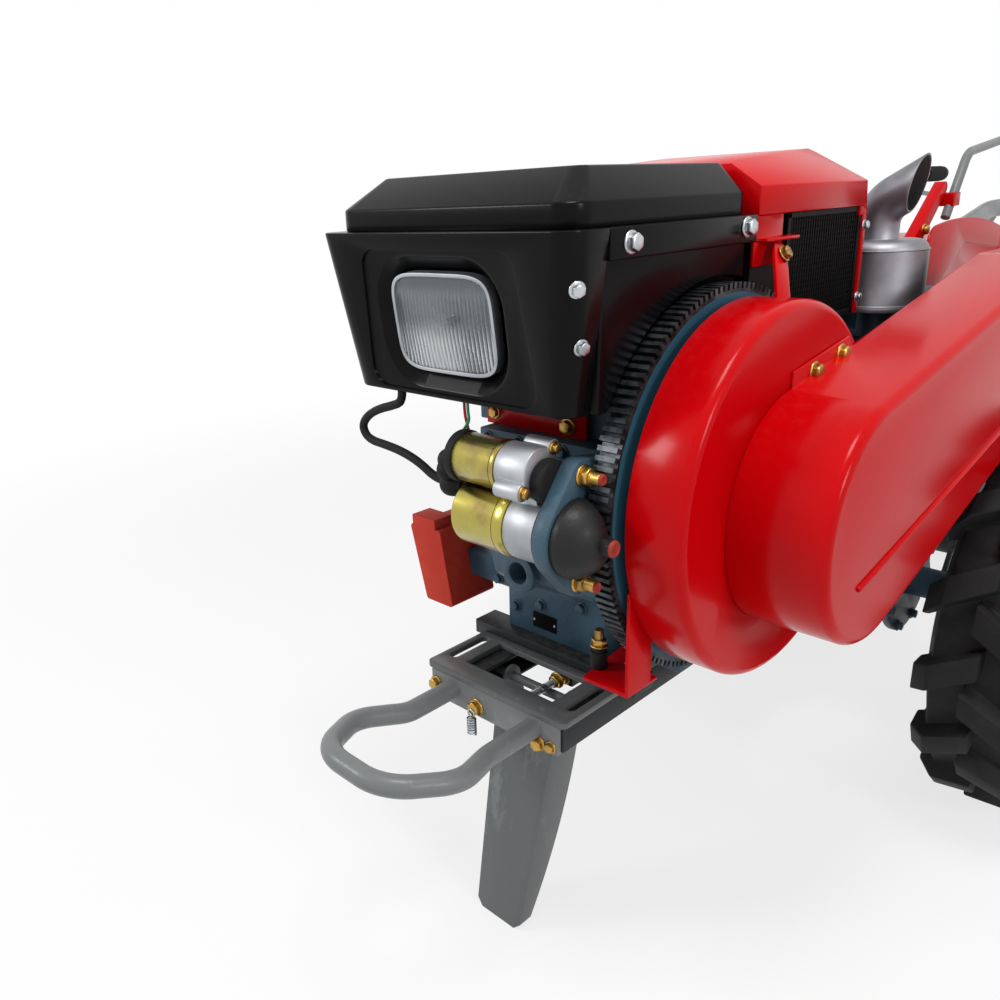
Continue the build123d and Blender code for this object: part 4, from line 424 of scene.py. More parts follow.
@dataclass(frozen=True)
class Glass:
    """Clear pressed glass over a bright bowl, with painted highlights along its flutes, strongest on the lower
    ones.
    """

    name: str
    tint: Colour
    cover: float = 0.28
    pitch: float = 0.0053
    middle: float = 0.776

    def material(self) -> Paint:
        """Builds the glass."""
        tree = ShaderTree(self.name)
        haze = tree.noise(35.0, 4.0)
        place = tree.place()
        across = (tree.apart(place, "X") + haze * 0.0012) * (math.tau / self.pitch)
        wave = tree.node("Math", {"operation": "SINE"}, {0: across})
        ribs = wave.ramp(-0.6, 0.9)
        up = tree.apart(place, "Z") - self.middle
        low = 1.0 - up.ramp(-0.022, 0.012)
        band = up.ramp(0.029, 0.031)
        # Painted highlight: the glass is painted paler and more opaque in stripes along its flutes, most on its
        # lower part and least in its upper band.
        bright = ribs * (low * 0.75 + 0.2) * (1.0 - band * 0.8)
        return tree.finish(
            Base_Color=tree.tint(bright, self.tint, (0.94, 0.96, 0.98)),
            Roughness=0.07 + haze * 0.08,
            Alpha=self.cover + bright * 0.5 + band * 0.25,
            Specular_IOR_Level=0.6,
        )


RED = Enamel(
    "gloss_red_enamel", rgb(198, 2, 9), roughness=0.17, coat=0.02, specular=0.1, dust=0.02,
)
BLACK = Enamel(
    "gloss_black_enamel", rgb(11, 11, 13), roughness=0.22, coat=0.02, specular=0.09, dust=0.015,
)
RAIL_BLACK = Enamel(
    "satin_black_paint", rgb(44, 46, 48), roughness=0.42, coat=0.02, specular=0.2, dust=0.2, peel=0.2, scuffs=0.4,
)
SHADE_BLACK = Enamel(
    "flat_black_paint", rgb(12, 12, 13), roughness=0.5, coat=0.0, specular=0.12, dust=0.05, peel=0.2,
)
# A paler copy of the dark grey paint: on the bumper hoop the extra lightness is painted light from above; the
# control levers are this pale grey themselves.
PALE_AND_LIT_GREY = Enamel(
    "pale_and_lit_grey_paint", rgb(118, 121, 122),
    roughness=0.34, coat=0.05, specular=0.3, dust=0.1, peel=0.25, scuffs=0.35,
)
GREY = Enamel(
    "dark_grey_paint", rgb(102, 105, 106),
    roughness=0.36, coat=0.05, specular=0.25, dust=0.15, peel=0.25, scuffs=0.45,
)
BLUE = Casting("blue_grey_casting", rgb(62, 90, 107))
RING = RingGear("ring_gear_and_wheel", rgb(52, 92, 112), rgb(92, 97, 102))
DOME = Casting("black_starter_cap", rgb(20, 20, 22), 0.4, 0.4)
ZINC = Metal(
    "yellow_zinc", rgb(176, 164, 84), rgb(146, 124, 80),
    roughness=0.18, streak=(12.0, 160.0, 160.0), grain=0.06, stain=30.0,
)
BOLT_GOLD = Metal("gold_zinc_bolts", rgb(196, 158, 82), rgb(150, 120, 72), 0.28, stain=60.0)
BOLT_STEEL = Metal("bright_zinc_bolts", rgb(196, 200, 204), rgb(150, 154, 158), 0.25, stain=60.0)
PRIMER = Rubber("red_thread_paint", rgb(150, 52, 44), rgb(120, 60, 50), 0.3, 0.4)
ALUMINIUM = Metal("cast_aluminium", rgb(178, 181, 185), rgb(156, 159, 164), 0.42, grain=0.2)
# The dark colour given for the silencer's outlet bore is painted shade.
SILVER = ShadedBorePipe("silencer_silver", rgb(150, 149, 153), rgb(122, 120, 126), bore_shade=rgb(46, 44, 46))
STEEL = Metal("bare_steel", rgb(150, 152, 154), rgb(132, 133, 135), 0.32)
MIRROR = Metal("lamp_reflector", rgb(158, 162, 168), rgb(128, 132, 138), 0.12)
LENS = Glass("fluted_lamp_glass", rgb(120, 126, 130))
TYRE = Rubber("tyre_rubber", rgb(26, 26, 28), rgb(70, 69, 68), 0.25)
BELT = Rubber("belt_rubber", rgb(18, 18, 18), rgb(50, 50, 50), 0.15)
GRIP = Rubber("black_grip_rubber", rgb(22, 22, 22), rgb(54, 54, 54), 0.15)
GREEN_LEAD = Rubber("green_lead_sleeve", rgb(34, 140, 84), rgb(60, 120, 90), 0.1, 0.4)
RED_LEAD = Rubber("red_lead_sleeve", rgb(200, 40, 60), rgb(170, 60, 60), 0.1, 0.4)
BOX = Rubber("matte_red_plastic", rgb(192, 52, 36), rgb(206, 96, 72), 0.35, 0.5)

FINISHES: dict[Any, tuple[str, ...]] = {
    RED: (
        "flywheel_guard", "belt_guard", "guard_bracket", "tank_bracket", "radiator_hood",
        "gearbox_shroud", "handle_posts", "tiller_hood", "rim_left", "rim_right",
    ),
    BLACK: ("fuel_tank", "tank_crown", "lamp_housing", "air_cleaner"),
    RAIL_BLACK: ("frame_rails", "engine_bearers", "tail_wheel_arm", "tiller_rotor"),
    SHADE_BLACK: ("radiator_core", "radiator_mesh"),
    GREY: ("front_plate", "front_stand"),
    PALE_AND_LIT_GREY: ("bumper_hoop", "control_levers"),
    BLUE: (
        "engine_block", "cylinder", "cylinder_head", "starter_mount_plate", "drive_pulley", "clutch_pulley",
        "gearbox", "tiller_gearcase", "hub_left", "hub_right",
    ),
    RING: ("flywheel",),
    DOME: ("starter_dome",),
    ZINC: ("starter_motor", "starter_solenoid"),
    ALUMINIUM: ("starter_drive_end", "headlamp"),
    SILVER: ("muffler",),
    STEEL: ("handle_tubes",),
    TYRE: ("tyre_left", "tyre_right", "tail_wheel"),
    BELT: ("drive_belts", "terminal_boots", "starter_cable"),
    GRIP: ("handle_grips",),
    GREEN_LEAD: ("lead_green",),
    RED_LEAD: ("lead_red",),
    BOX: ("tool_box",),
}

CRANK_Y = -785.0
FRONT, LEFT, RIGHT, UP, DOWN = (0, -1, 0), (1, 0, 0), (-1, 0, 0), (0, 0, 1), (0, 0, -1)
FACING = 0.9
SHARP, CREASE = 35, 40


def at(x: float, y: float, z: float) -> Vector:
    """A point given in millimetres from the crank's line and the ground, in metres."""
    return Vector((x, y + CRANK_Y, z)) / 1000


def aim(point: Vector, direction: Sequence[float], size: float = 1.0) -> Matrix:
    """A placing that lays a template's +Z along a direction.

    Args:
        point: Where the template's origin goes, in metres.
        direction: Where its +Z points.
        size: Its scale.

    Returns:
        The placing.
    """
    turn = Vector(direction).to_track_quat("Z", "Y").to_matrix().to_4x4()
    return Matrix.Translation(point) @ turn @ Matrix.Scale(size, 4)


@dataclass(frozen=True)
class Inset:
    """Insets the selected faces and moves them along their normals, in metres."""

    thickness: float
    depth: float = 0.0

    def run(self) -> None:
        """Carries out the step."""
        bpy.ops.mesh.inset(thickness=self.thickness, depth=self.depth)


@dataclass(frozen=True)
class Rise:
    """Extrudes the selected faces along a way and scales them about their middle."""

    reach: float
    share: float = 1.0
    way: Point = UP

    def run(self) -> None:
        """Carries out the step."""
        move = tuple(Vector(self.way) * self.reach)
        bpy.ops.mesh.extrude_region_move(TRANSFORM_OT_translate={"value": move})
        if self.share != 1.0:
            bpy.ops.transform.resize(value=(self.share, self.share, 1.0))


class Cut:
    """Deletes the selected faces."""

    def run(self) -> None:
        """Carries out the step."""
        bpy.ops.mesh.delete(type="FACE")


class Bench:
    """The modelling bench: operators that act on one piece at a time."""

    frame: dict[str, Any] = {}
    paints: dict[str, Paint] = {}

    @classmethod
    def paint(cls, finish: Any) -> Paint:
        """A finish's material, made once."""
        if finish.name not in cls.paints:
            cls.paints[finish.name] = finish.material()
        return cls.paints[finish.name]

    @staticmethod
    def mode(name: str) -> None:
        """Changes to edit or object mode."""
        bpy.ops.object.mode_set(mode=name)

    @staticmethod
    def bare() -> None:
        """Leaves edit mode with nothing selected."""
        if bpy.context.mode != "OBJECT":
            Bench.mode("OBJECT")
        bpy.ops.object.select_all(action="DESELECT")

    @classmethod
    def take(cls, *pieces: Piece) -> None:
        """Selects only these pieces, with the first one active."""
        cls.bare()
        for piece in pieces:
            piece.select_set(True)
        bpy.context.view_layer.objects.active = pieces[0]

    @staticmethod
    def add(name: str, data: bpy.types.ID) -> Piece:
        """Puts a new object into the scene.

        Args:
            name: Its name.
            data: Its mesh, curve, lamp or camera.

        Returns:
            The object.
        """
        piece = bpy.data.objects.new(name, data)
        bpy.context.scene.collection.objects.link(piece)
        return piece

    @staticmethod
    def adopt(name: str) -> Piece:
        """Names the piece that an operator has just added and applies its placing."""
        bpy.ops.object.transform_apply(location=True, rotation=True, scale=True)
        piece = bpy.context.active_object
        piece.name = name
        return piece

    @classmethod
    def rod(cls, name: str, radius: float, depth: float, sides: int = 32, base: float = 0.0) -> Piece:
        """Adds a cylinder along +Z.

        Args:
            name: The piece's name.
            radius: Its radius, in metres.
            depth: Its length.
            sides: Its number of sides.
            base: Where along Z it starts.

        Returns:
            The piece.
        """
        cls.bare()
        middle = (0, 0, base + depth / 2)
        bpy.ops.mesh.primitive_cylinder_add(vertices=sides, radius=radius, depth=depth, location=middle)
        return cls.adopt(name)

    @classmethod
    def block(cls, name: str, low: Vector, high: Vector) -> Piece:
        """Adds a box between two corners, in metres."""
        cls.bare()
        bpy.ops.mesh.primitive_cube_add(size=1.0, location=(low + high) / 2, scale=high - low)
        return cls.adopt(name)

    @classmethod
    def torus(
        cls, name: str, radius: float, thick: float, sides: int,
        location: Sequence[float] = (0, 0, 0), rotation: Point = (0, 0, 0),
    ) -> Piece:
        """Adds a round ring about +Z.

        Args:
            name: The piece's name.
            radius: The radius of its middle line, in metres.
            thick: Half its thickness.
            sides: Its number of sides.
            location: Its middle.
            rotation: Its turn, in radians.

        Returns:
            The piece.
        """
        cls.bare()
        bpy.ops.mesh.primitive_torus_add(
            major_radius=radius, minor_radius=thick, major_segments=sides, minor_segments=8,
            location=location, rotation=rotation,
        )
        return cls.adopt(name)

    @classmethod
    def work(cls, piece: Piece, ways: Sequence[Point], *steps: Any) -> None:
        """Selects faces by the way they face and works them step by step.

        Args:
            piece: The piece.
            ways: The ways that the faces may face; every face counts if there are none.
            *steps: What is done to them.
        """
        cls.take(piece)
        Bench.mode("EDIT")
        bpy.ops.mesh.select_mode(type="FACE")
        bpy.ops.mesh.select_all(action="DESELECT")
        Bench.mode("OBJECT")
        for face in piece.data.polygons:
            face.select = not ways or any(face.normal.dot(Vector(way)) > FACING for way in ways)
        Bench.mode("EDIT")
        for step in steps:
            step.run()
        Bench.mode("OBJECT")

    @classmethod
    def apply(cls, piece: Piece, kind: str, **settings: Any) -> None:
        """Adds a modifier and applies it.

        Args:
            piece: The piece.
            kind: The modifier's type.
            **settings: Its settings.
        """
        cls.take(piece)
        modifier = piece.modifiers.new(kind.lower(), kind)
        for key, value in settings.items():
            setattr(modifier, key, value)
        bpy.ops.object.modifier_apply(modifier=modifier.name)

    @classmethod
    def soften(cls, piece: Piece, width: float) -> None:
        """Rounds the sharp edges of a piece and shades it smooth.

        Args:
            piece: The piece.
            width: The width of the rounding, in metres.
        """
        cls.apply(
            piece, "BEVEL", width=width, segments=2, limit_method="ANGLE",
            angle_limit=math.radians(SHARP), use_clamp_overlap=False,
        )
        bpy.ops.object.shade_smooth_by_angle(angle=math.radians(CREASE))

    @classmethod
    def smooth(cls, piece: Piece) -> None:
        """Shades every face of a piece smooth."""
        cls.take(piece)
        bpy.ops.object.shade_smooth()

    @classmethod
    def join(cls, name: str, *pieces: Piece) -> Piece:
        """Joins pieces into the first and names it."""
        cls.take(*pieces)
        if len(pieces) > 1:
            bpy.ops.object.join()
        pieces[0].name = name
        return pieces[0]

    @classmethod
    def copies(cls, name: str, template: Piece, places: Sequence[Matrix], spent: bool = True) -> Piece:
        """Copies a template to places, each copy with its own mesh, and joins them.

        Args:
            name: The joined piece's name.
            template: What is copied.
            places: A placing for each copy.
            spent: Whether the template is removed afterwards.

        Returns:
            The joined piece.
        """
        made = []
        for place in places:
            mesh = template.data.copy()
            mesh.transform(place)
            made.append(cls.add(name, mesh))
        joined = cls.join(name, *made)
        if spent:
            bpy.data.objects.remove(template)
        return joined

    @classmethod
    def settle(cls, piece: Piece, finish: Any, slot: str, body: str = "root") -> Piece:
        """Paints a piece and lets it ride on a body.

        Args:
            piece: The piece.
            finish: Its finish.
            slot: The record's slot that it belongs to; not used.
            body: The body that carries it.

        Returns:
            The piece.
        """
        cls.bare()
        piece.data.materials.clear()
        piece.data.materials.append(cls.paint(finish))
        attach(piece, body)
        LOG.info("%s on %s", piece.name, body)
        return piece


@dataclass(frozen=True)
class Cord:
    """One lead of the starter or the lamp, in millimetres across a plane of constant y."""

    name: str
    node: str
    finish: Any
    slot: str
    diameter: float
    length: float
    depth: float
    route: tuple[tuple[float, float], ...]
    stiffness: str = "medium"

    def build(self) -> None:
        """Lays the lead along its route."""
        data = bpy.data.curves.new(self.name, "CURVE")
        data.dimensions = "3D"
        data.bevel_depth = self.diameter / 2000
        data.bevel_resolution = 4
        data.resolution_u = 12
        data.use_fill_caps = True
        spline = data.splines.new("NURBS")
        spline.points.add(len(self.route) - 1)
        for point, (x, z) in zip(spline.points, self.route):
            point.co = (*at(x, self.depth, z), 1.0)
        spline.order_u = 3
        spline.use_endpoint_u = True
        piece = Bench.settle(Bench.add(self.name, data), self.finish, self.slot)
        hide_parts(self.node)
        x, z = self.route[0]
        tuple(at(x, self.depth, z))
        self.diameter / 1000


CORDS = (
    Cord(
        "starter_cable_run", "starter_cable", BELT, "boot_rubber", 10.0, 251.6, -229.0,
        (
            (-22, 606.05), (-42, 606.05), (-68, 620.05), (-98, 628.05), (-128, 631.05), (-148, 632.05),
            (-161, 637.05), (-166, 649.05), (-154, 662.05), (-134, 672.05), (-110, 679.05), (-91, 686), (-91, 699),
        ),
        "stiff",
    ),
    Cord(
        "green_lead_run", "lead_green", GREEN_LEAD, "green_lead", 3.2, 71.0, -232.0,
        ((14, 699), (14, 690), (16, 681), (9, 672), (-2, 659), (-8, 634.5)),
    ),
    Cord(
        "red_lead_run", "lead_red", RED_LEAD, "red_lead", 3.2, 39.9, -227.0,
        ((4, 699), (4, 687), (7, 675), (12, 660.2)),
    ),
)


@dataclass
class Skins:
    """Copies of sheet and cast parts with rounded edges, each in place of its own part."""

    rounds: dict[str, float] = field(
        default_factory=lambda: {
            "front_plate": 1.2, "bumper_hoop": 1.2, "front_stand": 1.2, "frame_rails": 2.0, "engine_bearers": 1.5,
            "engine_block": 2.0, "cylinder": 2.0, "cylinder_head": 2.0, "starter_mount_plate": 1.6,
            "starter_drive_end": 1.4, "starter_motor": 1.0, "starter_solenoid": 1.0, "flywheel_guard": 1.2,
            "belt_guard": 1.4, "guard_bracket": 0.9, "tank_bracket": 1.2, "fuel_tank": 2.0, "tank_crown": 1.6,
            "lamp_housing": 1.6, "radiator_hood": 1.4, "muffler": 0.8, "air_cleaner": 2.0, "tool_box": 0.9,
            "gearbox": 3.0, "gearbox_shroud": 0.9, "handle_posts": 1.5, "tiller_gearcase": 3.0, "tiller_hood": 0.9,
            "tail_wheel_arm": 1.2, "tail_wheel": 2.0, "tyre_left": 3.0, "tyre_right": 3.0, "rim_left": 1.2,
            "rim_right": 1.2, "hub_left": 1.5, "hub_right": 1.5, "control_levers": 0.6, "handle_grips": 1.5,
        }
    )

    def build(self) -> None:
        """Makes every copy."""
        record = Bench.frame["record"]
        carried = {node: body for body, nodes in record["behaviour"]["bodies"].items() for node in nodes}
        slots = {part["node"]: part["material_slot"] for part in record["subparts"]}
        finish = {node: paint for paint, nodes in FINISHES.items() for node in nodes}
        for node, width in self.rounds.items():
            piece = self.copy(node)
            Bench.soften(piece, width / 1000)
            Bench.settle(piece, finish[node], slots[node], carried[node])
            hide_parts(node)

    def copy(self, node: str) -> Piece:
        """Copies a part's mesh and merges its loose triangles into whole faces.

        Args:
            node: The part.

        Returns:
            The copy.
        """
        piece = Bench.add(f"{node}_body", Bench.frame["nodes"][node].data.copy())
        Bench.take(piece)
        bpy.ops.mesh.customdata_custom_splitnormals_clear()
        Bench.mode("EDIT")
        bpy.ops.mesh.select_all(action="SELECT")
        bpy.ops.mesh.remove_doubles(threshold=1e-5)
        bpy.ops.mesh.dissolve_limited(angle_limit=math.radians(0.5))
        Bench.mode("OBJECT")
        return piece


@dataclass
class Headlamp:
    """Pressed glass with upright flutes, its bright bowl, bulb and rim."""

    centre: Vector = field(default_factory=lambda: at(-12.0, -245.9, 776.0))
    tilt: float = math.radians(8.08)
    half_width: float = 0.072
    half_height: float = 0.052
    square: float = 5.0
    flutes: int = 27
    front: float = 0.0062
    rim: float = 0.004

    @property
    def out(self) -> Vector:
        """The way the lamp looks."""
        return Vector((0.0, -math.cos(self.tilt), -math.sin(self.tilt)))

    def sheet(
        self, name: str, columns: int, rows: int, grow: float, depth: Callable[[float, float], float]
    ) -> Piece:
        """Makes a sheet with the lamp's rounded outline.

        Args:
            name: The piece's name.
            columns: Faces across.
            rows: Faces up.
            grow: Scale of the outline.
            depth: How far behind the lamp's plane a point lies, from its place across and up, each from -1 to 1.

        Returns:
            The sheet.
        """
        Bench.bare()
        bpy.ops.mesh.primitive_grid_add(x_subdivisions=columns, y_subdivisions=rows, size=2.0, location=(0, 0, 0))
        piece = Bench.adopt(name)
        up = Vector((0.0, -math.sin(self.tilt), math.cos(self.tilt)))
        for vertex in piece.data.vertices:
            across, high = vertex.co.x, vertex.co.y
            reach = max(abs(across), abs(high))
            power = abs(across) ** self.square + abs(high) ** self.square
            pull = reach / power ** (1 / self.square) if reach > 0 else 1.0
            across, high = across * pull, high * pull
            x, y = across * self.half_width * grow, high * self.half_height * grow
            vertex.co = self.centre + Vector((x, 0.0, 0.0)) + up * y - self.out * depth(across, high)
        return piece

    def crown(self, across: float, high: float) -> float:
        """Depth of the glass, with its flutes on the lower part finer than those above."""
        bulge = 0.0035 * (1 - across * across) * (1 - high * high)
        wave = math.cos(across * math.pi * self.flutes)
        band = 0.35 if 0.55 < high < 0.72 else 1.0
        lower = math.cos(across * math.pi * self.flutes / 3 + high * 9.0) * 0.0003 * max(0.0, -high)
        return self.front + 0.0035 - bulge - 0.0007 * wave * band - lower

    def bowl(self, across: float, high: float) -> float:
        """Depth of the bowl behind the lamp's plane."""
        sag = 0.011 * (across * across + high * high) / 2
        return self.front + 0.0148 - sag - 0.0018 * max(across ** 8, high ** 8)

    def build(self) -> None:
        """Makes glass, bowl, rim and bulb."""
        glass = self.sheet("headlamp_glass", 240, 24, 0.95, self.crown)
        bowl = self.sheet("headlamp_bowl", 40, 32, 0.93, self.bowl)
        for piece, finish, thick in ((glass, LENS, 0.0016), (bowl, MIRROR, 0.0008)):
            Bench.smooth(piece)
            Bench.apply(piece, "SOLIDIFY", thickness=thick, offset=-1.0)
            Bench.settle(piece, finish, "lamp_glass")
        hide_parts("headlamp")
        rim = self.sheet("headlamp_rim", 36, 28, 1.0, lambda across, high: self.front + 0.0012)
        Bench.work(rim, (), Inset(self.rim), Cut())
        Bench.apply(rim, "SOLIDIFY", thickness=0.012, offset=-1.0)
        Bench.soften(rim, 0.0008)
        Bench.settle(rim, ALUMINIUM, "cast_aluminium")
        bulb = Bench.rod("headlamp_bulb", 0.0055, 0.006, 24)
        Bench.work(bulb, (UP,), Rise(0.002, 0.96), Rise(0.002, 0.8), Rise(0.0012, 0.5))
        bulb.data.transform(aim(self.centre - self.out * 0.0215, self.out))
        Bench.soften(bulb, 0.0003)
        Bench.settle(bulb, STEEL, "lamp_glass")


@dataclass
class RadiatorNet:
    """Woven wire net in a flat frame on the radiator's side, in millimetres."""

    low: tuple[float, float] = (145.0, 732.0)
    high: tuple[float, float] = (341.5, 866.0)
    face: float = 155.0
    strip: tuple[float, float] = (152.2, 158.0)
    border: float = 7.0
    pitch: float = 6.2
    wire: float = 0.9
    wheel_room: float = 221.0
    wheel_height: float = 589.0

    def start(self, level: float, low: float, offset: float) -> float:
        """Where a wire starts, so that it clears the flywheel's room."""
        reach = self.wheel_room ** 2 - level * level
        return max(low, offset + math.sqrt(reach)) if reach > 0 else low

    def wires(self) -> Iterable[tuple[Vector, Vector]]:
        """Yields both ends of every wire."""
        z = self.low[1] + self.pitch
        while z < self.high[1]:
            side = self.start(z - self.wheel_height, self.low[0], 0.0)
            yield at(self.face, side, z), at(self.face, self.high[0], z)
            z += self.pitch
        y = self.low[0] + self.pitch
        while y < self.high[0]:
            foot = self.start(y, self.low[1], self.wheel_height)
            yield at(self.face + self.wire, y, foot), at(self.face + self.wire, y, self.high[1])
            y += self.pitch

    def build(self) -> None:
        """Makes the net and its frame."""
        wire = Bench.rod("wire_template", self.wire / 1000, 1.0, 6)
        placings = []
        for start, end in self.wires():
            run = end - start
            placings.append(aim(start, run) @ Matrix.Diagonal((1.0, 1.0, run.length, 1.0)))
        net = Bench.copies("radiator_net", wire, placings)
        (y0, z0), (y1, z1) = self.low, self.high
        foot = self.start(y0, z0, self.wheel_height)
        side = self.start(z0 - self.wheel_height, y0, 0.0)
        strips = (
            (y0, z1 - self.border, y1, z1), (y1 - self.border, z0, y1, z1), (side, z0, y1, z0 + self.border),
            (y0, foot, y0 + self.border, z1),
        )
        made = []
        for index, (ya, za, yb, zb) in enumerate(strips):
            made.append(Bench.block(f"net_strip_{index}", at(self.strip[0], ya, za), at(self.strip[1], yb, zb)))
            Bench.work(made[-1], (LEFT,), Inset(0.0015))
        frame = Bench.join("radiator_net_frame", *made)
        Bench.soften(frame, 0.0006)
        Bench.settle(net, SHADE_BLACK, "mesh_black")
        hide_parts("radiator_mesh")
        Bench.settle(frame, SHADE_BLACK, "mesh_black")


class Head(Enum):
    """Kinds of fastener."""

    BOLT = "bolt"
    NUT = "nut"
    SCREW = "screw"
    STUD = "stud"


class Hardware:
    """Templates of fasteners, seated at the origin and facing +Z, and their copies."""

    seat: float = 0.0018

    def __init__(self) -> None:
        """Models each template once."""
        bolt = self.hexagon(0.0078, 0.0056, Inset(0.0012, 0.0006))
        nut = self.hexagon(0.0086, 0.0068, Inset(0.0014, 0.0005))
        screw = Bench.rod("screw_head", 0.005, 0.002, 24)
        Bench.work(screw, (UP,), Rise(0.0012, 0.8), Inset(0.0016, -0.0008))
        self.templates = {
            Head.BOLT: self.finish(Head.BOLT, bolt, self.washer()),
            Head.NUT: self.finish(Head.NUT, nut, self.thread(0.0056, 8), self.washer()),
            Head.SCREW: self.finish(Head.SCREW, screw),
            Head.STUD: self.finish(Head.STUD, self.thread(0.0045, 20)),
        }

    def hexagon(self, radius: float, height: float, top: Inset) -> Piece:
        """A hexagon head that stands on a washer.

        Args:
            radius: Its radius over the corners, in metres.
            height: Its height.
            top: The raised face on it.

        Returns:
            The head.
        """
        head = Bench.rod("hexagon", radius, height, 6, self.seat)
        Bench.work(head, (UP,), top)
        return head

    def washer(self) -> Piece:
        """A flat washer with a stepped face."""
        washer = Bench.rod("washer", 0.0098, 0.0012, 28)
        Bench.work(washer, (UP,), Inset(0.0012, 0.0006))
        return washer

    def thread(self, radius: float, turns: int) -> Piece:
        """A rod with a ridge for each turn of its thread.

        Args:
            radius: Its radius, in metres.
            turns: How many ridges it shows.

        Returns:
            The rod.
        """
        rod = Bench.rod("thread", radius, 0.008, 14)
        Bench.work(rod, (UP,), *(Rise(0.0007, share) for share in (0.84, 1 / 0.84) * turns))
        return rod

    def finish(self, head: Head, *pieces: Piece) -> Piece:
        """Joins a template's pieces and rounds them."""
        piece = Bench.join(f"{head.value}_template", *pieces)
        Bench.apply(piece, "BEVEL", width=0.0004, segments=1, limit_method="ANGLE", angle_limit=math.radians(30))
        bpy.ops.object.shade_smooth_by_angle(angle=math.radians(35))
        return piece

    def place(
        self, name: str, head: Head, places: Sequence[Matrix], finish: Any, slot: str, body: str = "root"
    ) -> None:
        """Sets one kind of fastener in several places.

        Args:
            name: The joined piece's name.
            head: The kind.
            places: A placing for each.
            finish: Their finish.
            slot: The record's slot.
            body: The body that carries them.
        """
        Bench.settle(Bench.copies(name, self.templates[head], places, spent=False), finish, slot, body)

    def put_away(self) -> None:
        """Removes the templates."""
        for template in self.templates.values():
            bpy.data.objects.remove(template)


Spot = tuple[float, float, float, Point, float]


@dataclass(frozen=True)
class Fasteners:
    """One set of fasteners: each spot has its x, y and z, the way it faces and its scale."""

    name: str
    head: Head
    finish: Any
    slot: str
    spots: tuple[Spot, ...]

    def build(self, hardware: Hardware) -> None:
        """Sets the fasteners."""
        places = [aim(at(x, y, z), way, size) for x, y, z, way, size in self.spots]
        hardware.place(self.name, self.head, places, self.finish, self.slot)


SIDE_COVER_FACE = -105.5
COVER_SPOTS = (
    (-5, -133, 632), (-52, -133, 631), (58, -133, 632), (-56, -145, 606), (-39, -56, 391),
    (27, -56, 407), (-113, -56, 408), (-82, -56, 377), (50, -56, 366),
)
SIDE_SPOTS = (
    (30, 396), (30, 636), (208, 396), (208, 636), (119, 385), (119, 647),
    (19, 469.92), (19, 562.08), (219, 469.92), (219, 562.08),
)
BOTH = (LEFT, RIGHT)
FASTENERS = (
    Fasteners("hoop_bolts", Head.BOLT, BOLT_GOLD, "zinc_yellow", (
        (-106, -186, 306, FRONT, 1.0), (66, -186, 293, FRONT, 1.0),
        (-34, -186, 300, FRONT, 1.15), (84, -186, 296, FRONT, 0.8),
    )),
    Fasteners("tension_nuts", Head.BOLT, BOLT_GOLD, "zinc_yellow", (
        (14, -76, 314, FRONT, 1.1), (14, -88, 314, FRONT, 1.1),
    )),
    Fasteners("tension_screw", Head.STUD, BOLT_STEEL, "ring_steel", (
        (14, -76, 314, FRONT, 1.2), (14, -112, 314, FRONT, 1.2),
    )),
    Fasteners("engine_bolts", Head.BOLT, BLUE, "blue_cast", (
        *((x, y, z, FRONT, 0.85) for x, y, z in COVER_SPOTS),
        *((SIDE_COVER_FACE, y, z, RIGHT, 1.0) for y, z in SIDE_SPOTS),
    )),
    Fasteners("starter_nuts", Head.NUT, BOLT_GOLD, "zinc_yellow", (
        (147, -213, 642, LEFT, 1.15), (147, -219, 534, LEFT, 1.15),
    )),
    Fasteners("starter_screws", Head.BOLT, BOLT_GOLD, "zinc_yellow", (
        (116, -218, 665.6, LEFT, 0.72), (116, -264, 630.5, LEFT, 0.72),
    )),
    Fasteners("tank_bracket_bolts", Head.BOLT, BOLT_GOLD, "zinc_yellow", (
        (49, -112, 655, FRONT, 1.0), (-60, -112, 656, FRONT, 0.8),
    )),
    Fasteners("painted_thread_ends", Head.SCREW, PRIMER, "red_lead", (
        (168.6, -213, 642, LEFT, 1.15), (168.6, -219, 534, LEFT, 1.15), (190.5, -225, 582, LEFT, 1.7),
    )),
    Fasteners("plate_rivets", Head.SCREW, BOLT_STEEL, "ring_steel", (
        (-49.4, -57, 368, FRONT, 0.35), (-15.6, -57, 368, FRONT, 0.35),
    )),
    Fasteners("bracket_nut", Head.NUT, BOLT_GOLD, "zinc_yellow", ((129, -158, 432, UP, 1.0),)),
    Fasteners("tank_bolts", Head.BOLT, BOLT_STEEL, "ring_steel", (
        (159.8, -239.9, 818.6, (0.88, -0.44, -0.17), 0.82), (155.3, -227.9, 766.6, (0.96, -0.25, -0.15), 0.82),
        (169, -175, 854, LEFT, 1.1), (169, 31, 856, LEFT, 1.1),
        (-185, -175, 854, RIGHT, 1.1), (-185, 31, 856, RIGHT, 1.1),
    )),
    Fasteners("hood_bolts", Head.BOLT, BOLT_STEEL, "ring_steel", tuple(
        (160 * way[0], 348, z, way, 0.7) for way in BOTH for z in (842, 752)
    )),
    Fasteners("guard_bolts", Head.BOLT, BOLT_GOLD, "zinc_yellow", (
        (253, 31, 714.5, LEFT, 1.05), (253, 92, 724, LEFT, 1.05), (176.5, 101, 824, (0.85, 0.1, 0.5), 0.95),
    )),
    Fasteners("shroud_bolts", Head.BOLT, BOLT_STEEL, "ring_steel", tuple(
        (150 * way[0], y, 722, way, 0.9) for way in BOTH for y in (640, 800, 970)
    )),
    Fasteners("post_bolts", Head.BOLT, BOLT_GOLD, "zinc_yellow", tuple(
        (84 * way[0], y, z, way, 1.0) for y, z in ((700, 746), (780, 813)) for way in BOTH
    )),
)


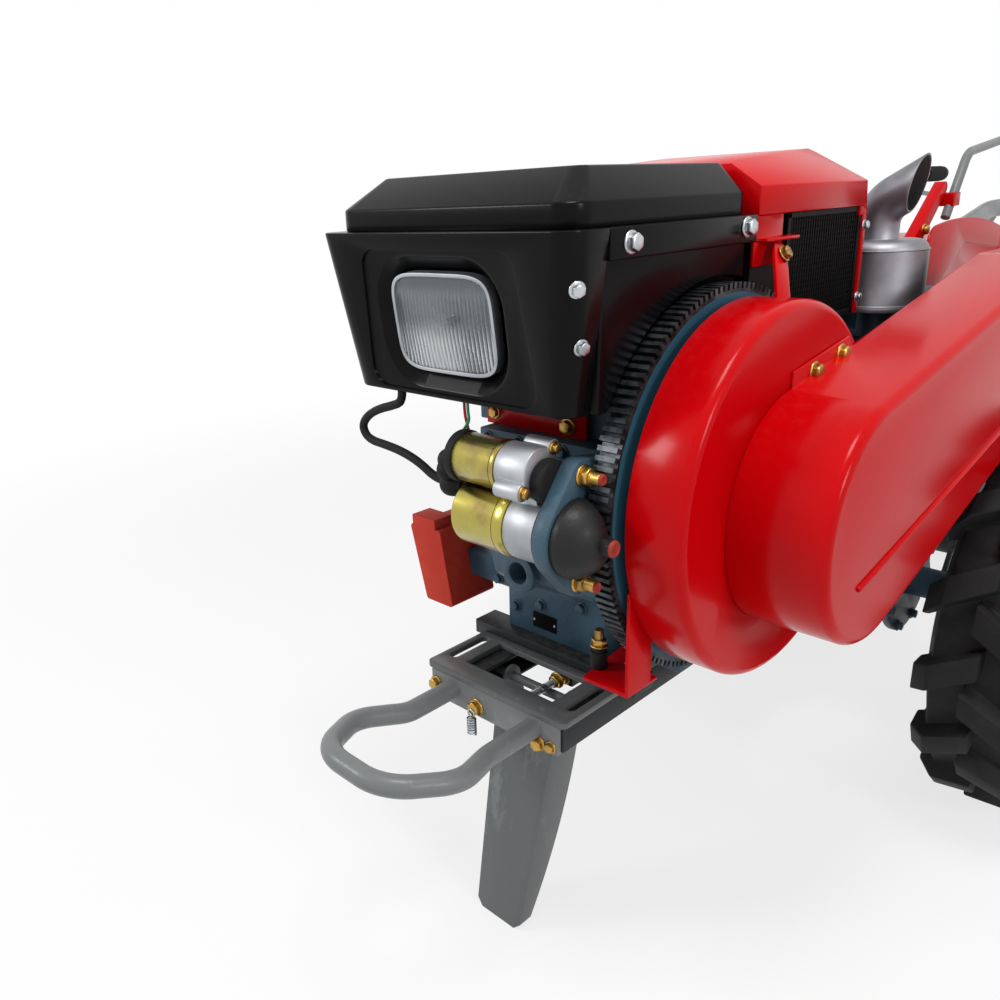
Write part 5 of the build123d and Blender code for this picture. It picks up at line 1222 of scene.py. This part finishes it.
@dataclass(frozen=True)
class TurnedRubber:
    """A round rubber piece: its stock and edge in metres, its seat in millimetres."""

    name: str
    radius: float
    depth: float
    sides: int
    steps: tuple[Any, ...]
    seat: Point
    way: Point
    edge: float
    ways: tuple[Point, ...] = (UP,)

    def build(self) -> None:
        """Turns the piece and sets it on its seat."""
        piece = Bench.rod(self.name, self.radius, self.depth, self.sides)
        Bench.work(piece, self.ways, *self.steps)
        piece.data.transform(aim(at(*self.seat), self.way))
        Bench.soften(piece, self.edge)
        Bench.settle(piece, BELT, "boot_rubber")


RUBBERS = (
    TurnedRubber("solenoid_cap", 0.0276, 0.010, 48, (Inset(0.004), Rise(0.002)), (17.5, -237, 644), RIGHT, 0.0012),
    TurnedRubber("drive_end_plug", 0.0225, 0.0125, 40, (Inset(0.003, 0.001),), (116.2, -233, 636), LEFT, 0.001),
    TurnedRubber("starter_gasket", 0.0395, 0.004, 48, (Inset(0.002),), (125, -225, 582), LEFT, 0.0004, (UP, DOWN)),
    TurnedRubber("bracket_spacer", 0.0095, 0.02, 32, (Inset(0.0025), Rise(0.006)), (129, -158, 406), UP, 0.0012),
)


@dataclass
class StandSpring:
    """The spring that holds the front stand, hung on an eye, in metres."""

    coil: float = 0.0052
    wire: float = 0.0011
    turns: int = 7
    pitch: float = 0.0034
    foot: Point = (-34, -196, 266)
    eye: Point = (-34, -196, 295)

    def build(self) -> None:
        """Winds the spring with the screw modifier and makes its eye."""
        Bench.bare()
        bpy.ops.mesh.primitive_circle_add(vertices=8, radius=self.wire, location=(0, 0, 0))
        spring = Bench.adopt("stand_spring")
        spring.data.transform(Matrix.Translation((self.coil, 0, 0)) @ Matrix.Rotation(math.pi / 2, 4, "X"))
        Bench.apply(
            spring, "SCREW", axis="Z", steps=14, render_steps=14, iterations=self.turns,
            screw_offset=self.pitch, angle=math.tau, use_smooth_shade=True,
        )
        Bench.take(spring)
        Bench.mode("EDIT")
        bpy.ops.mesh.select_all(action="SELECT")
        bpy.ops.mesh.remove_doubles(threshold=1e-6)
        bpy.ops.mesh.fill_holes(sides=10)
        bpy.ops.mesh.normals_make_consistent(inside=False)
        Bench.mode("OBJECT")
        spring.data.transform(Matrix.Translation(at(*self.foot)))
        Bench.settle(spring, BOLT_STEEL, "ring_steel")
        eye = Bench.torus("spring_eye", self.coil, self.wire, 24, at(*self.eye), (math.pi / 2, 0, 0))
        Bench.smooth(eye)
        Bench.settle(eye, BOLT_STEEL, "ring_steel")


@dataclass
class EngineFittings:
    """Side cover, terminal boots and bare plate of the engine, and the bead of its belt guard.

    Corners and ends are in millimetres, and other sizes in metres.
    """

    cover: tuple[Point, Point] = ((SIDE_COVER_FACE, 6.0, 372.0), (-96.0, 232.0, 660.0))
    cover_round: float = 0.045
    cover_flange: float = 0.026
    cover_rise: float = 0.016
    plate: tuple[Point, Point] = ((-52.0, -57.2, 357.0), (-13.0, -56.0, 379.0))
    bead_ends: tuple[Point, Point] = ((350.0, -48.0, 527.0), (350.0, 560.0, 643.0))
    bead_radius: float = 0.0035

    def build(self) -> None:
        """Makes the engine's small pieces."""
        self.side_cover()
        self.boots()
        plate = Bench.block("bare_data_plate", *(at(*corner) for corner in self.plate))
        Bench.work(plate, (FRONT,), Inset(0.0012, -0.0003))
        Bench.soften(plate, 0.0003)
        Bench.settle(plate, BLACK, "black_paint")
        self.bead()

    def side_cover(self) -> None:
        """Makes a ribbed cover on the plain side of the crankcase."""
        cover = Bench.block("crankcase_side_cover", *(at(*corner) for corner in self.cover))
        Bench.take(cover)
        Bench.mode("EDIT")
        bpy.ops.mesh.select_mode(type="EDGE")
        bpy.ops.mesh.select_all(action="DESELECT")
        Bench.mode("OBJECT")
        corners = cover.data.vertices
        for edge in cover.data.edges:
            first, second = (corners[index].co for index in edge.vertices)
            edge.select = abs(first.x - second.x) > 0.004
        Bench.mode("EDIT")
        bpy.ops.mesh.bevel(offset=self.cover_round, segments=6, affect="EDGES")
        rise = Rise(self.cover_rise, way=RIGHT)
        Bench.work(cover, (RIGHT,), Inset(self.cover_flange), rise, Inset(0.012, -0.004))
        Bench.soften(cover, 0.002)
        Bench.settle(cover, BLUE, "blue_cast")

    def boots(self) -> None:
        """Puts the rubber boots on the starter's terminals."""
        lobe = Bench.rod("boot_template", 0.0075, 0.003, 28)
        rings = ((0.004, 1.35), (0.005, 1.22), (0.007, 1.0), (0.005, 0.84), (0.004, 0.6))
        Bench.work(lobe, (UP,), *(Rise(reach, share) for reach, share in rings))
        Bench.apply(lobe, "SUBSURF", levels=2, render_levels=2)
        places = [aim(at(7, -237, 634.5), (-1, -0.15, 0.1)), aim(at(6, -232, 609), (-1, -0.1, -0.1), 1.1)]
        places.append(aim(at(-8, -238, 640), (-0.2, -0.2, -1), 0.95))
        boots = Bench.copies("terminal_boot_lobes", lobe, places)
        Bench.smooth(boots)
        Bench.settle(boots, BELT, "boot_rubber")

    def bead(self) -> None:
        """Rolls the bead along the belt guard's face."""
        start, end = (at(*point) for point in self.bead_ends)
        bead = Bench.rod("belt_guard_bead", self.bead_radius, (end - start).length, 16)
        Bench.work(bead, (UP, DOWN), Inset(0.001, 0.0025))
        bead.data.transform(aim(start, end - start))
        Bench.soften(bead, 0.0008)
        Bench.settle(bead, RED, "red_paint")


@dataclass
class WheelDressing:
    """Wheel nuts, axle bolts and moulded sidewall rings, in millimetres."""

    hardware: Hardware
    track: float = 376.0
    axle: tuple[float, float] = (563.0, 290.0)
    nut_seat: float = 380.0
    nut_circle: float = 55.0
    nuts: int = 5
    flange_seat: float = 205.0
    flange_circle: float = 77.0
    flange_bolts: int = 8
    rings: tuple[tuple[float, float, float], ...] = ((172.0, 3.0, 61.4), (196.0, 2.4, 67.0))

    def circle(self, way: Point, seat: float, radius: float, turns: Sequence[float], size: float) -> list[Matrix]:
        """Placings around an axle.

        Args:
            way: The way they face, which is also the wheel's side.
            seat: How far from the middle of the machine they sit.
            radius: The radius of their circle.
            turns: Where each stands, as a share of a turn.
            size: Their scale.

        Returns:
            The placings.
        """
        places = []
        for turn in turns:
            y = self.axle[0] + radius * math.cos(math.tau * turn)
            z = self.axle[1] + radius * math.sin(math.tau * turn)
            places.append(aim(at(way[0] * seat, y, z), way, size))
        return places

    def build(self) -> None:
        """Dresses both wheels."""
        for way, name in zip(BOTH, ("left", "right")):
            body = f"wheel_{name}"
            turns = [index / self.nuts for index in range(self.nuts)]
            nuts = self.circle(way, self.nut_seat, self.nut_circle, turns, 1.15)
            self.hardware.place(f"wheel_nuts_{name}", Head.NUT, nuts, BOLT_GOLD, "zinc_yellow", body)
            turns = [(index + 0.5) / self.flange_bolts for index in range(self.flange_bolts)]
            flange = self.circle(way, self.flange_seat, self.flange_circle, turns, 0.95)
            self.hardware.place(f"axle_bolts_{name}", Head.BOLT, flange, BLUE, "blue_cast")
            rings = [
                Bench.torus("ring", radius / 1000, thick / 1000, 96, (0, 0, wall / 1000))
                for radius, thick, wall in self.rings
            ]
            places = [aim(at(way[0] * self.track, *self.axle), face) for face in BOTH]
            moulded = Bench.copies(f"tyre_rings_{name}", Bench.join("ring_template", *rings), places)
            Bench.smooth(moulded)
            Bench.settle(moulded, TYRE, "tyre_rubber", body)


@dataclass
class Bands:
    """Grip ribs, bands of the air cleaner and seams of the silencer, placed in millimetres."""

    grip: Point = (300.0, 1868.0, 900.0)
    rib_count: int = 13
    rib_pitch: float = 8.0
    cleaner: tuple[Point, ...] = ((-192.0, 423.0, 606.0), (-192.0, 423.0, 742.0))
    seams: tuple[Point, ...] = ((151.0, 442.0, 734.0), (151.0, 442.0, 806.0))

    def build(self) -> None:
        """Makes every set of bands."""
        x, y, z = self.grip
        along = [y + self.rib_pitch * index for index in range(self.rib_count)]
        ribs = [aim(at(x * way[0], place, z), (0, 1, 0)) for way in BOTH for place in along]
        self.ring("grip_ribs", 0.0185, 0.0014, ribs, GRIP, "grip_black")
        cleaner = [aim(at(*point), UP) for point in self.cleaner]
        self.ring("air_cleaner_bands", 0.0657, 0.0016, cleaner, BLACK, "black_paint")
        seams = [aim(at(*point), UP) for point in self.seams]
        self.ring("muffler_seams", 0.0572, 0.0011, seams, SILVER, "silencer_silver")

    def ring(
        self, name: str, radius: float, thick: float, places: Sequence[Matrix], finish: Any, slot: str
    ) -> None:
        """Copies one round band to places.

        Args:
            name: The joined piece's name.
            radius: The band's radius, in metres.
            thick: Half its thickness.
            places: A placing for each.
            finish: Its finish.
            slot: The record's slot.
        """
        bands = Bench.copies(name, Bench.torus("band", radius, thick, 56), places)
        Bench.smooth(bands)
        Bench.settle(bands, finish, slot)


@dataclass
class Studio:
    """White floor and surround, soft lamps and the camera of the photograph."""

    eye: Point = (0.6477, -1.6509, 0.8992)
    right: Point = (0.68899, 0.72340, -0.04446)
    up: Point = (-0.20683, 0.25504, 0.94454)
    lens: float = 32.04
    shift: tuple[float, float] = (0.06255, 0.00405)
    surround: float = 0.45

    def camera(self) -> None:
        """Stands the camera where the photograph was taken."""
        right = Vector(self.right).normalized()
        up = Vector(self.up)
        up = (up - right * up.dot(right)).normalized()
        back = right.cross(up)
        data = bpy.data.cameras.new("photo_camera")
        data.sensor_width = 36.0
        data.lens = self.lens
        data.shift_x, data.shift_y = self.shift
        camera = Bench.add("photo_camera", data)
        turn = Matrix((right, up, back)).transposed().to_4x4()
        camera.matrix_world = Matrix.Translation(self.eye) @ turn
        bpy.context.scene.camera = camera

    def floor(self) -> None:
        """Lays a white floor that fades into the background and keeps a soft shadow."""
        Bench.bare()
        bpy.ops.mesh.primitive_circle_add(vertices=64, radius=14.0, fill_type="NGON", location=(0, 0, 0))
        floor = Bench.adopt("studio_floor")
        tree = ShaderTree("white_floor")
        far = tree.node("VectorMath", {"operation": "LENGTH"}, {0: tree.place()}, "Value")
        share = (far.ramp(1.2, 3.2) * 0.25 + 0.75) * tree.seen()
        paint = tree.tint(tree.noise(3.0), (0.86, 0.86, 0.86), (0.9, 0.9, 0.9))
        matt = tree.node("BsdfDiffuse", None, {"Color": paint})
        white = tree.node("Emission", None, {"Color": (1.0, 1.0, 1.0), "Strength": tree.seen()})
        blend = tree.node("MixShader", None, {0: share, 1: matt, 2: white})
        tree.node("OutputMaterial", None, {"Surface": blend})
        floor.data.materials.append(tree.material)

    def lamp(self, name: str, place: Point, target: Point, size: float, power: float) -> None:
        """Hangs one soft square lamp.

        Args:
            name: The lamp's name.
            place: Where it hangs.
            target: What it points at.
            size: Its side, in metres.
            power: Its power, in watts.
        """
        data = bpy.data.lights.new(name, "AREA")
        data.size = size
        data.energy = power
        lamp = Bench.add(name, data)
        lamp.location = place
        lamp.rotation_euler = (Vector(target) - Vector(place)).to_track_quat("-Z", "Y").to_euler()

    def light(self) -> None:
        """Sets the lamps and a white surround."""
        world = bpy.data.worlds.new("studio_surround")
        bpy.context.scene.world = world
        tree = ShaderTree("studio_surround", world)
        strength = tree.seen() * (1.0 - self.surround) + self.surround
        back = tree.node("Background", None, {"Color": (1.0, 1.0, 1.0), "Strength": strength})
        tree.node("OutputWorld", None, {"Surface": back})
        self.lamp("overhead", (0.5, -1.2, 2.8), (0, -0.5, 0.5), 0.8, 36.0)
        self.lamp("front_left", (-1.9, -2.9, 1.9), (0, -0.8, 0.6), 0.7, 30.0)
        self.lamp("right", (2.9, -1.2, 1.8), (0, -0.4, 0.6), 0.7, 24.0)
        bpy.context.scene.view_settings.view_transform = "Standard"

    def build(self) -> None:
        """Sets the floor and the light."""
        self.floor()
        self.light()


def main() -> None:
    """Builds the dressed tractor, piece by piece."""
    logging.basicConfig(level=logging.INFO, format="%(message)s")
    Bench.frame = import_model()
    studio = Studio()
    studio.camera()
    for cord in CORDS:
        cord.build()
    for finish, nodes in FINISHES.items():
        for node in nodes:
            part = Bench.frame["nodes"][node]
            part.data.materials.clear()
            part.data.materials.append(Bench.paint(finish))
    Skins().build()
    Headlamp().build()
    RadiatorNet().build()
    hardware = Hardware()
    for fasteners in FASTENERS:
        fasteners.build(hardware)
    for rubber in RUBBERS:
        rubber.build()
    StandSpring().build()
    EngineFittings().build()
    WheelDressing(hardware).build()
    Bands().build()
    hardware.put_away()
    studio.build()


if __name__ == "__main__":
    main()
